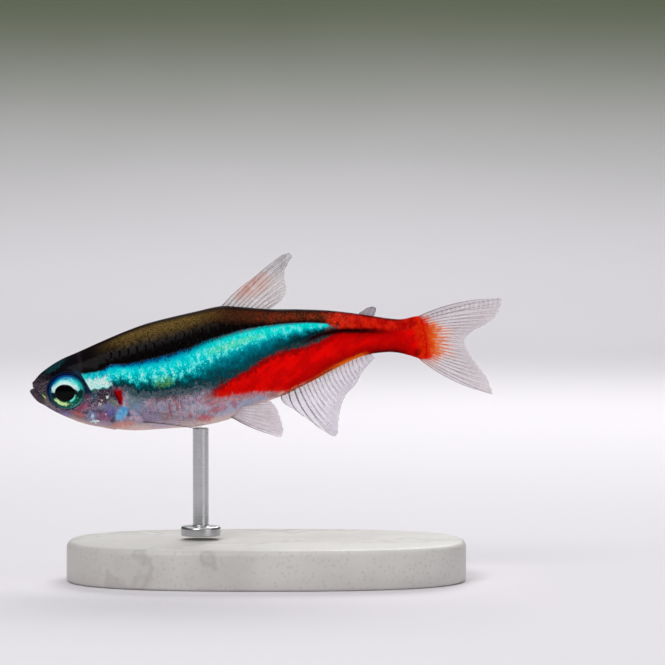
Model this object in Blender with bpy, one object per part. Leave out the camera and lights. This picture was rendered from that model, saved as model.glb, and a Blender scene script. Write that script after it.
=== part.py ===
"""Neon tetra, a still, life-size model on a plain display stand.

The fish is shaped in its own frame, in millimetres: s runs from the snout to the tail,
h runs up and y runs across, with the left flank at minus y. One empty pitches the fish
nose down, as it swims. The model stands on Z = 0, with its box centred over the origin.
"""
import math

import bmesh
import bpy
import numpy as np
from mathutils import Matrix, Vector

MM = 0.001
GAP = 0.3                     # clearance between pieces that meet
WELD = 0.012                  # points of a cut fin that lie closer than this are merged
SLIVER = 0.003                # triangles of a cut fin that are lower than this are turned
SLIVER_PASSES = 3

# Place and pose of the fish.
PITCH = math.radians(7.6)     # nose down
SNOUT_X = -17.61              # world place of the fish frame's origin
SNOUT_Z = 14.2
SWAY_START = 16.0             # the tail curves aside behind this point
SWAY_END = 36.0
SWAY = 1.2                    # how far aside the tail's tip lies

# Outlines of the body, each a few (s, value) points of a smooth curve.
NOSE_S = -0.10
TAIL_S = 29.5
BACK = [(-0.10, 0.12), (0.17, 0.60), (0.46, 0.92), (0.87, 1.25), (1.41, 1.56), (2.46, 2.03),
        (3.80, 2.42), (5.61, 2.96), (7.49, 3.48), (9.36, 3.88), (11.2, 4.10), (13.0, 4.27),
        (14.8, 4.42), (16.6, 4.11), (18.4, 3.73), (20.6, 3.42), (22.8, 3.04), (24.6, 2.60),
        (26.35, 2.10), (27.4, 1.80), (28.3, 1.64), (29.5, 1.72)]
BELLY = [(-0.10, 0.12), (0.01, -0.36), (0.33, -0.81), (0.76, -1.21), (1.58, -1.85),
         (2.55, -2.45), (3.55, -2.97), (4.56, -3.34), (5.58, -3.62), (6.61, -3.87),
         (7.71, -4.04), (9.10, -4.13), (10.5, -4.22), (11.9, -4.30), (13.0, -4.26),
         (14.3, -4.11), (15.0, -3.86), (15.7, -3.60), (16.6, -3.30), (17.9, -3.03),
         (18.8, -2.82), (19.7, -2.52), (21.0, -2.06), (22.0, -1.64), (23.1, -1.24),
         (24.1, -0.93), (25.0, -0.72), (25.9, -0.64), (26.8, -0.67), (27.6, -0.82),
         (28.4, -1.12), (29.5, -1.58)]
HALF_WIDTH = [(-0.10, 0.0), (0.17, 0.44), (0.46, 0.64), (0.90, 0.88), (1.60, 1.14), (2.67, 1.40),
              (4.00, 1.62), (6.00, 1.88), (8.50, 2.08), (11.5, 2.15), (14.0, 2.05), (17.0, 1.76),
              (20.0, 1.40), (23.0, 1.06), (26.0, 0.76), (28.0, 0.58), (29.5, 0.34)]
SECTION_POWER = 2.1           # 2 gives oval sections, more gives fuller ones
STATIONS = 76
ROUND_POINTS = 40

# Lines on the head, as side views (s, h).
MOUTH_LINE = [(-0.60, 0.72), (-0.05, 0.38), (0.18, 0.12), (0.42, -0.22), (0.66, -0.56),
              (0.95, -1.05), (1.30, -1.55), (1.90, -2.60)]
MOUTH_CORNER = 5              # how many of those points lie along the lips
LIP_RISE = 0.13
LIP_SPREAD = 0.30
GILL_LINE = [(6.10, 4.20), (5.75, 2.80), (5.35, 1.50), (5.30, 0.60), (5.80, -0.10),
             (6.50, -0.80), (6.95, -1.60), (7.05, -2.40), (6.75, -3.00), (6.00, -3.60),
             (4.90, -4.50)]
GILL_RISE = 0.16              # how far the gill cover's edge stands proud
GILL_SPREAD = 1.3
STALK_S = 26.8                # where the tail stalk is parted from the trunk
STALK_TOP, STALK_BOTTOM = 4.0, -4.0
CUT_REACH = 5.0               # half the length of a cutter that passes through the body

NOSTRILS = [(0.78, 0.62, 0.12), (1.06, 0.79, 0.15)]   # s, h and radius, front one first
NOSTRIL_DEPTH = 0.12

# Eyes: turned shapes on an axis that leans forward.
EYE_S, EYE_H = 2.79, -0.37
EYE_BASE_Y = 0.42
EYE_RADIUS = 1.36
EYE_SIDE = 0.66               # straight part of its side, inside the socket
EYE_DOME = 0.58
CORNEA_RADIUS = 0.78
CORNEA_RISE = 0.10
EYE_LEAN = math.radians(11)
EYE_LONG, EYE_TALL = 1.06, 0.97   # stretch of its round outline
EYE_GAP = 0.25
EYE_SEGMENTS = 32
EYE_RINGS = 7
SOCKET_REACH = 3.0

# Fins: rays are ridges raised in the membrane.
RAY_HALF = 0.33               # half the thickness along a ray
WEB_HALF = 0.25               # half the thickness between rays
EDGE_HALF = 0.13
EDGE_OUT = 0.16               # how far the rounded front and rear edges stand out
TAPER_START = 0.75            # fins thin out beyond this part of their length
TAPER_LEFT = 0.5
WEB_NOTCH = 0.025             # the web stops short of the ray tips
ALONG_STEP = 0.03             # reach over which a ray's direction is measured

# Each fin: root and tips are (part of the way along the fin, s, h, y) points. Bow bends the
# first and last rays forward, and a flare above 1 turns a paired fin out close to its root.
MEDIAN_FINS = {
    "dorsal_fin": dict(
        rays=11, rows=8, bow=(0.12, 0.10), flare=1,
        root=[(0, 14.50, 3.95, 0), (1, 17.80, 3.20, 0)],
        tips=[(0, 17.30, 6.06, 0), (0.08, 18.85, 7.00, 0), (0.16, 20.10, 7.68, 0),
              (0.22, 20.55, 7.74, 0), (0.28, 20.74, 7.46, 0), (0.36, 20.40, 7.00, 0),
              (0.48, 20.02, 6.35, 0), (0.6, 19.94, 5.65, 0), (0.74, 19.95, 5.00, 0),
              (0.87, 19.58, 4.36, 0), (1, 18.80, 3.85, 0)]),
    "adipose_fin": dict(
        rays=5, rows=6, bow=(0.12, -0.05), flare=1,
        root=[(0, 24.75, 2.05, 0), (1, 25.90, 1.70, 0)],
        tips=[(0, 25.52, 2.86, 0), (0.35, 25.88, 2.96, 0), (0.65, 26.32, 2.86, 0),
              (1, 26.46, 2.50, 0)]),
    "anal_fin": dict(
        rays=21, rows=8, bow=(-0.42, -0.12), flare=1,
        root=[(0, 18.85, -2.30, 0), (0.5, 22.15, -1.35, 0), (1, 25.55, -0.30, 0)],
        tips=[(0, 18.98, -3.72, 0), (0.05, 20.04, -4.68, 0), (0.1, 21.20, -5.82, 0),
              (0.14, 22.05, -6.46, 0), (0.18, 22.32, -6.34, 0), (0.26, 22.50, -5.55, 0),
              (0.4, 22.86, -4.35, 0), (0.54, 23.40, -3.42, 0), (0.7, 24.15, -2.80, 0),
              (0.82, 24.64, -2.14, 0), (0.92, 25.30, -1.45, 0), (1, 25.88, -1.00, 0)]),
    "caudal_fin": dict(
        rays=19, rows=9, bow=(0.26, -0.26), flare=1,
        root=[(0, 29.10, 1.52, 0), (1, 29.10, -1.42, 0)],
        tips=[(0, 34.50, 2.32, 0), (0.04, 35.95, 2.16, 0), (0.14, 35.55, 1.15, 0),
              (0.26, 34.60, 0.42, 0), (0.4, 33.20, -0.12, 0), (0.5, 32.72, -0.75, 0),
              (0.6, 32.95, -1.60, 0), (0.74, 33.55, -2.75, 0), (0.86, 34.15, -3.90, 0),
              (0.96, 34.35, -4.95, 0), (1, 33.30, -4.48, 0)]),
}
PAIRED_FINS = {
    "pectoral_fin": dict(
        rays=10, rows=8, bow=(0.15, 0.05), flare=3,
        root=[(0, 7.10, -3.25, 0.55), (1, 7.45, -2.50, 1.00)],
        tips=[(0, 12.10, -4.42, 2.05), (0.1, 12.50, -4.40, 2.15), (0.3, 12.15, -3.95, 2.40),
              (0.6, 11.20, -3.35, 2.65), (1, 9.50, -2.75, 2.60)]),
    "pelvic_fin": dict(
        rays=8, rows=7, bow=(-0.10, 0.05), flare=1.5,
        root=[(0, 14.35, -3.72, 0.42), (1, 14.98, -3.28, 0.75)],
        tips=[(0, 17.30, -5.54, 1.25), (0.12, 18.05, -5.86, 1.35), (0.24, 18.32, -5.58, 1.42),
              (0.4, 18.27, -5.02, 1.50), (0.6, 18.16, -4.38, 1.58), (0.8, 17.98, -3.76, 1.60),
              (1, 17.64, -3.24, 1.58)]),
}

# The stand.
BASE_HALF_LENGTH = 15.0
BASE_HALF_WIDTH = 9.0
BASE_HEIGHT = 3.0
BASE_ROUNDING = 2.6           # power of the rounded outline
BASE_BEVEL = 0.5
BASE_SEGMENTS = 56
ROD_S = 12.2                  # where along the fish the rod holds it
ROD_RADIUS = 0.6
ROD_SEGMENTS = 20
COLLAR_RADIUS = 1.5
COLLAR_HEIGHT = 0.7
COLLAR_BEVEL = 0.2

SMOOTH_ANGLE = math.radians(40)

FINISHES = {                  # base colour, roughness, metallic
    "skin_dark": ((0.035, 0.028, 0.022), 0.30, 0.0),
    "skin_blue": ((0.02, 0.42, 0.55), 0.28, 0.2),
    "skin_red": ((0.62, 0.035, 0.015), 0.32, 0.0),
    "eye": ((0.03, 0.10, 0.14), 0.08, 0.0),
    "fin": ((0.62, 0.60, 0.62), 0.35, 0.0),
    "stone": ((0.62, 0.60, 0.57), 0.45, 0.0),
    "steel": ((0.60, 0.60, 0.61), 0.28, 1.0),
}


def smooth(points, x):
    """Value at x of a smooth curve through the points, without overshoot."""
    xs, ys = np.array(points, dtype=float).T
    x = np.clip(x, xs[0], xs[-1])
    step = np.diff(xs)
    slope = np.diff(ys) / step
    before, after = slope[:-1], slope[1:]
    product = before * after
    turning = product <= 0
    total = np.where(turning, 1.0, before + after)
    inner = np.where(turning, 0.0, 2 * product / total)
    tangent = np.concatenate(([slope[0]], inner, [slope[-1]]))
    i = np.clip(np.searchsorted(xs, x) - 1, 0, len(step) - 1)
    t = (x - xs[i]) / step[i]
    ahead = t * t * (3 - 2 * t)
    bend = tangent[i] * t * (1 - t) ** 2 - tangent[i + 1] * t * t * (1 - t)
    return ys[i] * (1 - ahead) + ys[i + 1] * ahead + bend * step[i]


def from_nose(s):
    """Measure that makes the blunt nose smooth: the root of the distance behind it."""
    return np.sqrt(np.maximum(np.asarray(s, dtype=float) - NOSE_S, 0.0))


def outline(points, s):
    return smooth([(float(from_nose(p)), q) for p, q in points], from_nose(s))


def sway(s):
    """How far the body's middle lies aside at s."""
    part = np.clip((np.asarray(s, dtype=float) - SWAY_START) / (SWAY_END - SWAY_START), 0.0, None)
    return SWAY * part ** 2


def new_mesh(name, points, faces):
    """Object of points (s, y, h) in millimetres, moved aside with the tail's curve."""
    points = np.array(points, dtype=float)
    points[:, 1] += sway(points[:, 0])
    mesh = bpy.data.meshes.new(name)
    mesh.from_pydata((points * MM).tolist(), [], faces)
    mesh.update()
    obj = bpy.data.objects.new(name, mesh)
    bpy.context.scene.collection.objects.link(obj)
    return obj


def evaluated_mesh(obj):
    depsgraph = bpy.context.evaluated_depsgraph_get()
    return bpy.data.meshes.new_from_object(obj.evaluated_get(depsgraph))


def remove(obj):
    bpy.data.objects.remove(obj, do_unlink=True)


def subtract(obj, cutters, keep=False, solver="EXACT"):
    """Cut the cutters out of the object, one after the other."""
    for cutter in cutters:
        cutter.hide_render = True
        cutter.display_type = "WIRE"
        cut = obj.modifiers.new("cut", "BOOLEAN")
        cut.object = cutter
        cut.operation = "DIFFERENCE"
        cut.solver = solver
        mesh = evaluated_mesh(obj)
        obj.modifiers.clear()
        obj.data = mesh
    if not keep:
        for cutter in cutters:
            remove(cutter)


def loose_pieces(mesh):
    """Lists of the face indices of each connected piece, largest first."""
    bm = bmesh.new()
    bm.from_mesh(mesh)
    seen = set()
    pieces = []
    for start in bm.faces:
        if start.index in seen:
            continue
        seen.add(start.index)
        piece = [start]
        for face in piece:
            for edge in face.edges:
                for other in edge.link_faces:
                    if other.index not in seen:
                        seen.add(other.index)
                        piece.append(other)
        pieces.append([face.index for face in piece])
    bm.free()
    return sorted(pieces, key=len, reverse=True)


def keep_faces(mesh, name, wanted):
    """Copy of the mesh with only the wanted faces."""
    bm = bmesh.new()
    bm.from_mesh(mesh)
    wanted = set(wanted)
    bmesh.ops.delete(bm, geom=[f for f in bm.faces if f.index not in wanted], context="FACES")
    part = bpy.data.meshes.new(name)
    bm.to_mesh(part)
    bm.free()
    return part


def keep_largest(obj):
    obj.data = keep_faces(obj.data, obj.name, loose_pieces(obj.data)[0])


def weld(obj):
    """Merge points that a cut has left too close together, and turn the slivers' long edges."""
    bm = bmesh.new()
    bm.from_mesh(obj.data)
    bmesh.ops.remove_doubles(bm, verts=bm.verts, dist=WELD * MM)
    bmesh.ops.triangulate(bm, faces=bm.faces)
    for _ in range(SLIVER_PASSES):
        slivers = [(f, max(f.edges, key=lambda e: e.calc_length())) for f in bm.faces]
        slivers = [(f, e) for f, e in slivers if 2 * f.calc_area() < SLIVER * MM * e.calc_length()]
        for face, edge in slivers:
            if face.is_valid and edge.is_valid:
                bmesh.utils.edge_rotate(edge)
    bm.to_mesh(obj.data)
    bm.free()


def finish(obj, look, parent=None):
    """Give the object its own material, smooth shading and its parent."""
    colour, roughness, metallic = FINISHES[look]
    material = bpy.data.materials.new(obj.name + "_material")
    material.use_nodes = True
    shader = material.node_tree.nodes["Principled BSDF"]
    shader.inputs["Base Color"].default_value = (*colour, 1.0)
    shader.inputs["Roughness"].default_value = roughness
    shader.inputs["Metallic"].default_value = metallic
    obj.data.materials.clear()
    obj.data.materials.append(material)
    obj.data.shade_smooth()
    obj.data.set_sharp_from_angle(angle=SMOOTH_ANGLE)
    if parent:
        obj.parent = parent


def distance_to_line(s, h, line):
    """Side-view distance of a point to a line of short straight steps."""
    best = math.inf
    for (s0, h0), (s1, h1) in zip(line, line[1:]):
        ds, dh = s1 - s0, h1 - h0
        t = ((s - s0) * ds + (h - h0) * dh) / (ds * ds + dh * dh)
        t = min(max(t, 0.0), 1.0)
        best = min(best, math.hypot(s - s0 - t * ds, h - h0 - t * dh))
    return best


def relief(s, h):
    """Height of the lips and of the gill cover's edge over the plain body."""
    lips = distance_to_line(s, h, MOUTH_LINE[1:MOUTH_CORNER])
    rise = LIP_RISE * math.exp(-(lips / LIP_SPREAD) ** 2)
    low, high = GILL_LINE[-1][1], GILL_LINE[3][1]
    if low < h < high:
        edge = float(smooth([(q, p) for p, q in reversed(GILL_LINE)], h))
        if edge - GILL_SPREAD < s < edge:
            fade = math.sin(math.pi * (h - low) / (high - low))
            rise += GILL_RISE * fade * (1 - (edge - s) / GILL_SPREAD) ** 2
    return rise


def body(name, grow=0.0, stations=STATIONS, around=ROUND_POINTS):
    """The whole body, from the nose to the end of the tail stalk, as one closed shape."""
    roots = np.linspace(0.0, float(from_nose(TAIL_S)), stations + 1)[1:]
    points = [(NOSE_S - grow, 0.0, float(outline(BACK, NOSE_S)))]
    for root in roots:
        s = NOSE_S + root ** 2
        top = float(outline(BACK, s)) + grow
        bottom = float(outline(BELLY, s)) - grow
        width = float(outline(HALF_WIDTH, s)) + grow
        middle = (top + bottom) / 2
        half = (top - bottom) / 2
        for k in range(around):
            angle = 2 * math.pi * k / around
            up, side = math.cos(angle), math.sin(angle)
            h = middle + half * math.copysign(abs(up) ** (2 / SECTION_POWER), up)
            y = width * math.copysign(abs(side) ** (2 / SECTION_POWER), side)
            out = Vector((y / width ** 2, (h - middle) / half ** 2)).normalized()
            rise = 0.0 if grow else relief(s, h)
            points.append((s, y + out.x * rise, h + out.y * rise))
    tail_end = len(points)
    points.append((TAIL_S + grow, 0.0, float(points[-around // 2][2] + points[-around][2]) / 2))
    if grow:
        for k in range(around):
            last = points[tail_end - around + k]
            points[tail_end - around + k] = (TAIL_S + grow, last[1], last[2])
    faces = []
    for k in range(around):
        after = (k + 1) % around
        faces.append((0, 1 + k, 1 + after))
        for row in range(stations - 1):
            a, b = 1 + row * around, 1 + (row + 1) * around
            faces.append((a + k, b + k, b + after, a + after))
        faces.append((tail_end, tail_end - around + after, tail_end - around + k))
    return new_mesh(name, points, faces)


def ribbon(name, line, width):
    """Thin wall that follows a side-view line and passes right through the body."""
    line = [Vector(p) for p in line]
    normals = []
    for i in range(len(line)):
        along = line[min(i + 1, len(line) - 1)] - line[max(i - 1, 0)]
        normals.append(Vector((-along.y, along.x)).normalized() * width / 2)
    rim = [p + n for p, n in zip(line, normals)]
    rim += [p - n for p, n in reversed(list(zip(line, normals)))]
    count = len(rim)
    points = [(p.x, side * CUT_REACH, p.y) for side in (-1, 1) for p in rim]
    faces = [tuple(range(count)), tuple(reversed(range(count, 2 * count)))]
    faces += [(i, count + i, count + (i + 1) % count, (i + 1) % count) for i in range(count)]
    wall = new_mesh(name, points, faces)
    make_faces_point_out(wall)
    return wall


def make_faces_point_out(obj):
    bm = bmesh.new()
    bm.from_mesh(obj.data)
    bmesh.ops.recalc_face_normals(bm, faces=bm.faces)
    bm.to_mesh(obj.data)
    bm.free()


def curved(line, steps=4):
    """The line with extra points between, so that its bends are round."""
    order = list(range(len(line)))
    places = np.linspace(0, len(line) - 1, (len(line) - 1) * steps + 1)
    across = [float(smooth(list(zip(order, [p[0] for p in line])), t)) for t in places]
    up = [float(smooth(list(zip(order, [p[1] for p in line])), t)) for t in places]
    return list(zip(across, up))


def turned(name, profile, segments):
    """Closed turned shape about its own z, from (radius, height) points, bottom to top."""
    points = [(0.0, 0.0, profile[0][1])]
    rings = [p for p in profile if p[0] > 0]
    for radius, height in rings:
        for k in range(segments):
            angle = 2 * math.pi * k / segments
            points.append((radius * math.cos(angle), radius * math.sin(angle), height))
    top = len(points)
    points.append((0.0, 0.0, profile[-1][1]))
    faces = []
    for k in range(segments):
        after = (k + 1) % segments
        faces.append((0, 1 + after, 1 + k))
        for row in range(len(rings) - 1):
            a, b = 1 + row * segments, 1 + (row + 1) * segments
            faces.append((a + k, a + after, b + after, b + k))
        faces.append((top, top - segments + k, top - segments + after))
    mesh = bpy.data.meshes.new(name)
    mesh.from_pydata([Vector(p) * MM for p in points], [], faces)
    obj = bpy.data.objects.new(name, mesh)
    bpy.context.scene.collection.objects.link(obj)
    return obj


def eye_place(side):
    """Places a turned shape's own z on the eye's axis; side is -1 for left, 1 for right."""
    aim = Vector((-math.sin(EYE_LEAN), side * math.cos(EYE_LEAN), 0.0))
    spot = Vector((EYE_S, side * EYE_BASE_Y, EYE_H)) * MM
    turn = aim.to_track_quat("Z", "X").to_matrix().to_4x4()
    return Matrix.Translation(spot) @ turn @ Matrix.Diagonal((EYE_TALL, EYE_LONG, 1.0, 1.0))


def eye_profile():
    profile = [(EYE_RADIUS - EDGE_HALF, 0.0), (EYE_RADIUS, EDGE_HALF), (EYE_RADIUS, EYE_SIDE)]
    for k in range(1, EYE_RINGS + 1):
        angle = math.pi / 2 * k / (EYE_RINGS + 1)
        radius = EYE_RADIUS * math.cos(angle)
        bulge = CORNEA_RISE * max(0.0, 1 - (radius / CORNEA_RADIUS) ** 2)
        profile.append((radius, EYE_SIDE + EYE_DOME * math.sin(angle) + bulge))
    profile.append((0.0, EYE_SIDE + EYE_DOME + CORNEA_RISE))
    return profile


def placed(obj, place):
    obj.data.transform(place)
    obj.data.update()
    return obj


def flank(s, h):
    """Half width of the body at a point of its side view."""
    top, bottom = float(outline(BACK, s)), float(outline(BELLY, s))
    part = abs(h - (top + bottom) / 2) / ((top - bottom) / 2)
    return float(outline(HALF_WIDTH, s)) * max(0.0, 1 - part ** SECTION_POWER) ** (1 / SECTION_POWER)


def head_cutters():
    """Sockets for the eyes and pits for the nostrils, on both sides."""
    cutters = []
    socket = EYE_RADIUS + EYE_GAP
    for side in (-1, 1):
        hole = turned("socket", [(socket, 0.0), (socket, SOCKET_REACH), (0.0, SOCKET_REACH)],
                      EYE_SEGMENTS)
        place = eye_place(side) @ Matrix.Translation((0.0, 0.0, -EYE_GAP * MM))
        cutters.append(placed(hole, place))
        for s, h, radius in NOSTRILS:
            bm = bmesh.new()
            bmesh.ops.create_icosphere(bm, subdivisions=2, radius=radius * MM)
            mesh = bpy.data.meshes.new("nostril")
            bm.to_mesh(mesh)
            bm.free()
            pit = bpy.data.objects.new("nostril", mesh)
            bpy.context.scene.collection.objects.link(pit)
            y = side * (flank(s, h) + radius - NOSTRIL_DEPTH - radius / 2)
            cutters.append(placed(pit, Matrix.Translation(Vector((s, y, h)) * MM)))
    return cutters


def body_nodes(pose):
    """Part the whole body with thin cuts into the jaw, head, trunk and tail stalk."""
    whole = body("body")
    stalk_line = [(STALK_S, STALK_TOP), (STALK_S, STALK_BOTTOM)]
    cuts = [ribbon("mouth_cut", curved(MOUTH_LINE), GAP),
            ribbon("gill_cut", curved(GILL_LINE), GAP),
            ribbon("stalk_cut", stalk_line, GAP)]
    subtract(whole, cuts + head_cutters())
    pieces = loose_pieces(whole.data)[:4]
    looks = {"lower_jaw": "skin_dark", "head": "skin_dark", "trunk": "skin_blue",
             "tail_stalk": "skin_red"}

    def middle(piece):
        return sum(whole.data.polygons[i].center.x for i in piece) / len(piece)

    for piece, (name, look) in zip(sorted(pieces, key=middle), looks.items()):
        node = bpy.data.objects.new(name, keep_faces(whole.data, name, piece))
        bpy.context.scene.collection.objects.link(node)
        finish(node, look, pose)
    remove(whole)


def eye_nodes(pose):
    for name, side in (("eye_left", -1), ("eye_right", 1)):
        node = placed(turned(name, eye_profile(), EYE_SEGMENTS), eye_place(side))
        finish(node, "eye", pose)


def fin_point(fin, t, u, side):
    """Point (s, y, h) of a fin's middle surface: t runs along it, u from root to tip."""
    ends = []
    for key in ("root", "tips"):
        table = fin[key]
        ends.append(Vector([float(smooth([(p[0], p[k]) for p in table], t)) for k in (1, 3, 2)]))
    root, tip = ends
    ray = tip - root
    forward = Vector((-ray.z, 0.0, ray.x)).normalized()
    bow = fin["bow"][0] * (1 - t) + fin["bow"][1] * t
    point = root + ray * u + forward * bow * 4 * u * (1 - u)
    y = root.y + ray.y * (1 - (1 - u) ** fin["flare"])
    return Vector((point.x, y * side, point.z))


def fin_directions(fin, t, u, side):
    """Unit vectors across the ray at t, and out of the blade, the same for a whole row."""
    def along(t):
        low, high = max(u - ALONG_STEP, 0.0), min(u + ALONG_STEP, 1.0)
        return fin_point(fin, t, high, side) - fin_point(fin, t, low, side)

    whole_row = fin_point(fin, 1.0, u, side) - fin_point(fin, 0.0, u, side)
    normal = along(0.5).cross(whole_row).normalized()
    return normal.cross(along(t)).normalized(), normal


def fin_columns(rays):
    """(part of the way along, shift, half thickness, reach) of both edges, rays and webs."""
    columns = [(0.0, -EDGE_OUT, EDGE_HALF, 1.0)]
    for j in range(2 * rays - 1):
        is_ray = j % 2 == 0
        half = RAY_HALF if is_ray else WEB_HALF
        columns.append((j / (2 * rays - 2), 0.0, half, 1.0 if is_ray else 1.0 - WEB_NOTCH))
    return columns + [(1.0, EDGE_OUT, EDGE_HALF, 1.0)]


def fin_node(name, fin, side, body_cutter):
    """A fin as one closed blade, its root cut to meet the body's surface."""
    rows = fin["rows"]
    columns = fin_columns(fin["rays"])
    points = []
    for t, shift, half, reach in columns:
        for k in range(rows + 1):
            u = k / rows
            across, normal = fin_directions(fin, t, reach * u, side)
            centre = fin_point(fin, t, reach * u, side) + across * shift
            taper = 1 - (1 - TAPER_LEFT) * max(0.0, (u - TAPER_START) / (1 - TAPER_START))
            points.append(centre + normal * half * taper)
            points.append(centre - normal * half * taper)

    def corner(j, k, face):
        return 2 * (j * (rows + 1) + k) + face

    def halves(a, b, c, d):
        if (points[a] - points[c]).length <= (points[b] - points[d]).length:
            return [(a, b, c), (a, c, d)]
        return [(a, b, d), (b, c, d)]

    faces = []
    wide = len(columns) - 1
    for j in range(wide):
        for k in range(rows):
            a, b, c, d = ((j, k), (j + 1, k), (j + 1, k + 1), (j, k + 1))
            for face in (0, 1):
                faces += halves(*(corner(*q, face) for q in (a, b, c, d)))
        for k in (0, rows):
            faces.append((corner(j, k, 0), corner(j + 1, k, 0), corner(j + 1, k, 1), corner(j, k, 1)))
    for j in (0, wide):
        for k in range(rows):
            faces.append((corner(j, k, 0), corner(j, k + 1, 0), corner(j, k + 1, 1), corner(j, k, 1)))
    node = new_mesh(name, points, faces)
    make_faces_point_out(node)
    subtract(node, [body_cutter], keep=True, solver="MANIFOLD")
    weld(node)
    keep_largest(node)
    return node


def fin_nodes(pose):
    grown = body("grown_body", grow=GAP, stations=60, around=32)
    for name, fin in MEDIAN_FINS.items():
        finish(fin_node(name, fin, 1, grown), "fin", pose)
    for name, fin in PAIRED_FINS.items():
        for word, side in (("left", -1), ("right", 1)):
            finish(fin_node(name + "_" + word, fin, side, grown), "fin", pose)
    return grown


def stand_nodes(grown, place):
    """A flat rounded base and one rod whose top is cut to the belly's shape."""
    rings = [(0.0, BASE_BEVEL / 2), (BASE_BEVEL / 2, 0.0), (BASE_HEIGHT - BASE_BEVEL, 0.0),
             (BASE_HEIGHT - BASE_BEVEL * 0.3, BASE_BEVEL * 0.3), (BASE_HEIGHT, BASE_BEVEL)]
    points = []
    for height, inset in rings:
        for k in range(BASE_SEGMENTS):
            angle = 2 * math.pi * k / BASE_SEGMENTS
            x, y = math.cos(angle), math.sin(angle)
            x = math.copysign(abs(x) ** (2 / BASE_ROUNDING), x) * (BASE_HALF_LENGTH - inset)
            y = math.copysign(abs(y) ** (2 / BASE_ROUNDING), y) * (BASE_HALF_WIDTH - inset)
            points.append((x, y, height))
    count = BASE_SEGMENTS
    faces = [tuple(reversed(range(count)))]
    for row in range(len(rings) - 1):
        a = row * count
        faces += [(a + k, a + (k + 1) % count, a + count + (k + 1) % count, a + count + k)
                  for k in range(count)]
    faces.append(tuple(range(len(points) - count, len(points))))
    mesh = bpy.data.meshes.new("stand_base")
    mesh.from_pydata([Vector(p) * MM for p in points], [], faces)
    base = bpy.data.objects.new("stand_base", mesh)
    bpy.context.scene.collection.objects.link(base)
    finish(base, "stone")

    belly = place @ (Vector((ROD_S, 0.0, float(outline(BELLY, ROD_S)))) * MM)
    foot = BASE_HEIGHT + GAP
    top = belly.z / MM + 1.0
    profile = [(COLLAR_RADIUS, foot), (COLLAR_RADIUS, foot + COLLAR_HEIGHT - COLLAR_BEVEL),
               (COLLAR_RADIUS - COLLAR_BEVEL, foot + COLLAR_HEIGHT), (ROD_RADIUS, foot + COLLAR_HEIGHT),
               (ROD_RADIUS, top), (0.0, top)]
    rod = placed(turned("stand_rod", profile, ROD_SEGMENTS), Matrix.Translation((belly.x, 0.0, 0.0)))
    placed(grown, place)
    subtract(rod, [grown])
    keep_largest(rod)
    finish(rod, "steel")


def main():
    for obj in list(bpy.data.objects):
        remove(obj)
    pose = bpy.data.objects.new("pose", None)
    bpy.context.scene.collection.objects.link(pose)
    pose.location = (SNOUT_X * MM, 0.0, SNOUT_Z * MM)
    pose.rotation_euler = (0.0, -PITCH, 0.0)
    place = Matrix.Translation(pose.location) @ Matrix.Rotation(-PITCH, 4, "Y")
    body_nodes(pose)
    eye_nodes(pose)
    grown = fin_nodes(pose)
    stand_nodes(grown, place)


main()
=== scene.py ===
import math

import bpy
import numpy as np
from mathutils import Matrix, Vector


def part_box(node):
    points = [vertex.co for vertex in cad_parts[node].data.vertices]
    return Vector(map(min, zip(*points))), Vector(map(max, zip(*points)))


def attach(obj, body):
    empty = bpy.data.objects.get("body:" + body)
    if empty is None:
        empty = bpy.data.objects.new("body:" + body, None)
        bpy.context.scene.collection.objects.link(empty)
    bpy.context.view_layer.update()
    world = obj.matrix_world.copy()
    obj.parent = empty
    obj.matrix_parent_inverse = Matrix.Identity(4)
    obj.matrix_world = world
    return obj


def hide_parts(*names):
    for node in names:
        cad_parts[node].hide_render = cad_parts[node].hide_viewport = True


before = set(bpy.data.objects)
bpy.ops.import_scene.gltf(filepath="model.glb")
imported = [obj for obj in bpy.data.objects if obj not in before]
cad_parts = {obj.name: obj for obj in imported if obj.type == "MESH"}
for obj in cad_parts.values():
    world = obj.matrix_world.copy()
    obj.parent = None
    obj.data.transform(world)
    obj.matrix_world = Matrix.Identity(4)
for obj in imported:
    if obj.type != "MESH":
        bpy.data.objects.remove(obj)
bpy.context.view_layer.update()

# The looks of the neon tetra model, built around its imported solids.
# The fish is shaped in its own frame, in millimetres: s runs from the snout to the tail,
# h runs up and y runs across, with the left flank at minus y.

MM = 0.001
SEED = 20

# Place and pose, the same as the solids'.
PITCH = math.radians(7.6)
SNOUT_X, SNOUT_Z = -17.61, 14.2
SWAY_START, SWAY_END, SWAY = 16.0, 36.0, 1.2

# Outlines of the body, as the solids have them, with the tail stalk run out over the fin's root.
NOSE_S = -0.10
NOSE_H = 0.12
TAIL_S = 29.75
BACK = [(-0.10, 0.12), (0.17, 0.60), (0.46, 0.92), (0.87, 1.25), (1.41, 1.56), (2.46, 2.03),
        (3.80, 2.42), (5.61, 2.96), (7.49, 3.48), (9.36, 3.88), (11.2, 4.10), (13.0, 4.27),
        (14.8, 4.42), (16.6, 4.11), (18.4, 3.73), (20.6, 3.42), (22.8, 3.04), (24.6, 2.60),
        (26.35, 2.10), (27.4, 1.80), (28.3, 1.64), (29.5, 1.72), (29.75, 1.70)]
BELLY = [(-0.10, 0.12), (0.01, -0.36), (0.33, -0.81), (0.76, -1.21), (1.58, -1.85),
         (2.55, -2.45), (3.55, -2.97), (4.56, -3.34), (5.58, -3.62), (6.61, -3.87),
         (7.71, -4.04), (9.10, -4.13), (10.5, -4.22), (11.9, -4.30), (13.0, -4.26),
         (14.3, -4.11), (15.0, -3.86), (15.7, -3.60), (16.6, -3.30), (17.9, -3.03),
         (18.8, -2.82), (19.7, -2.52), (21.0, -2.06), (22.0, -1.64), (23.1, -1.24),
         (24.1, -0.93), (25.0, -0.72), (25.9, -0.64), (26.8, -0.67), (27.6, -0.82),
         (28.4, -1.12), (29.5, -1.58), (29.75, -1.60)]
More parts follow.
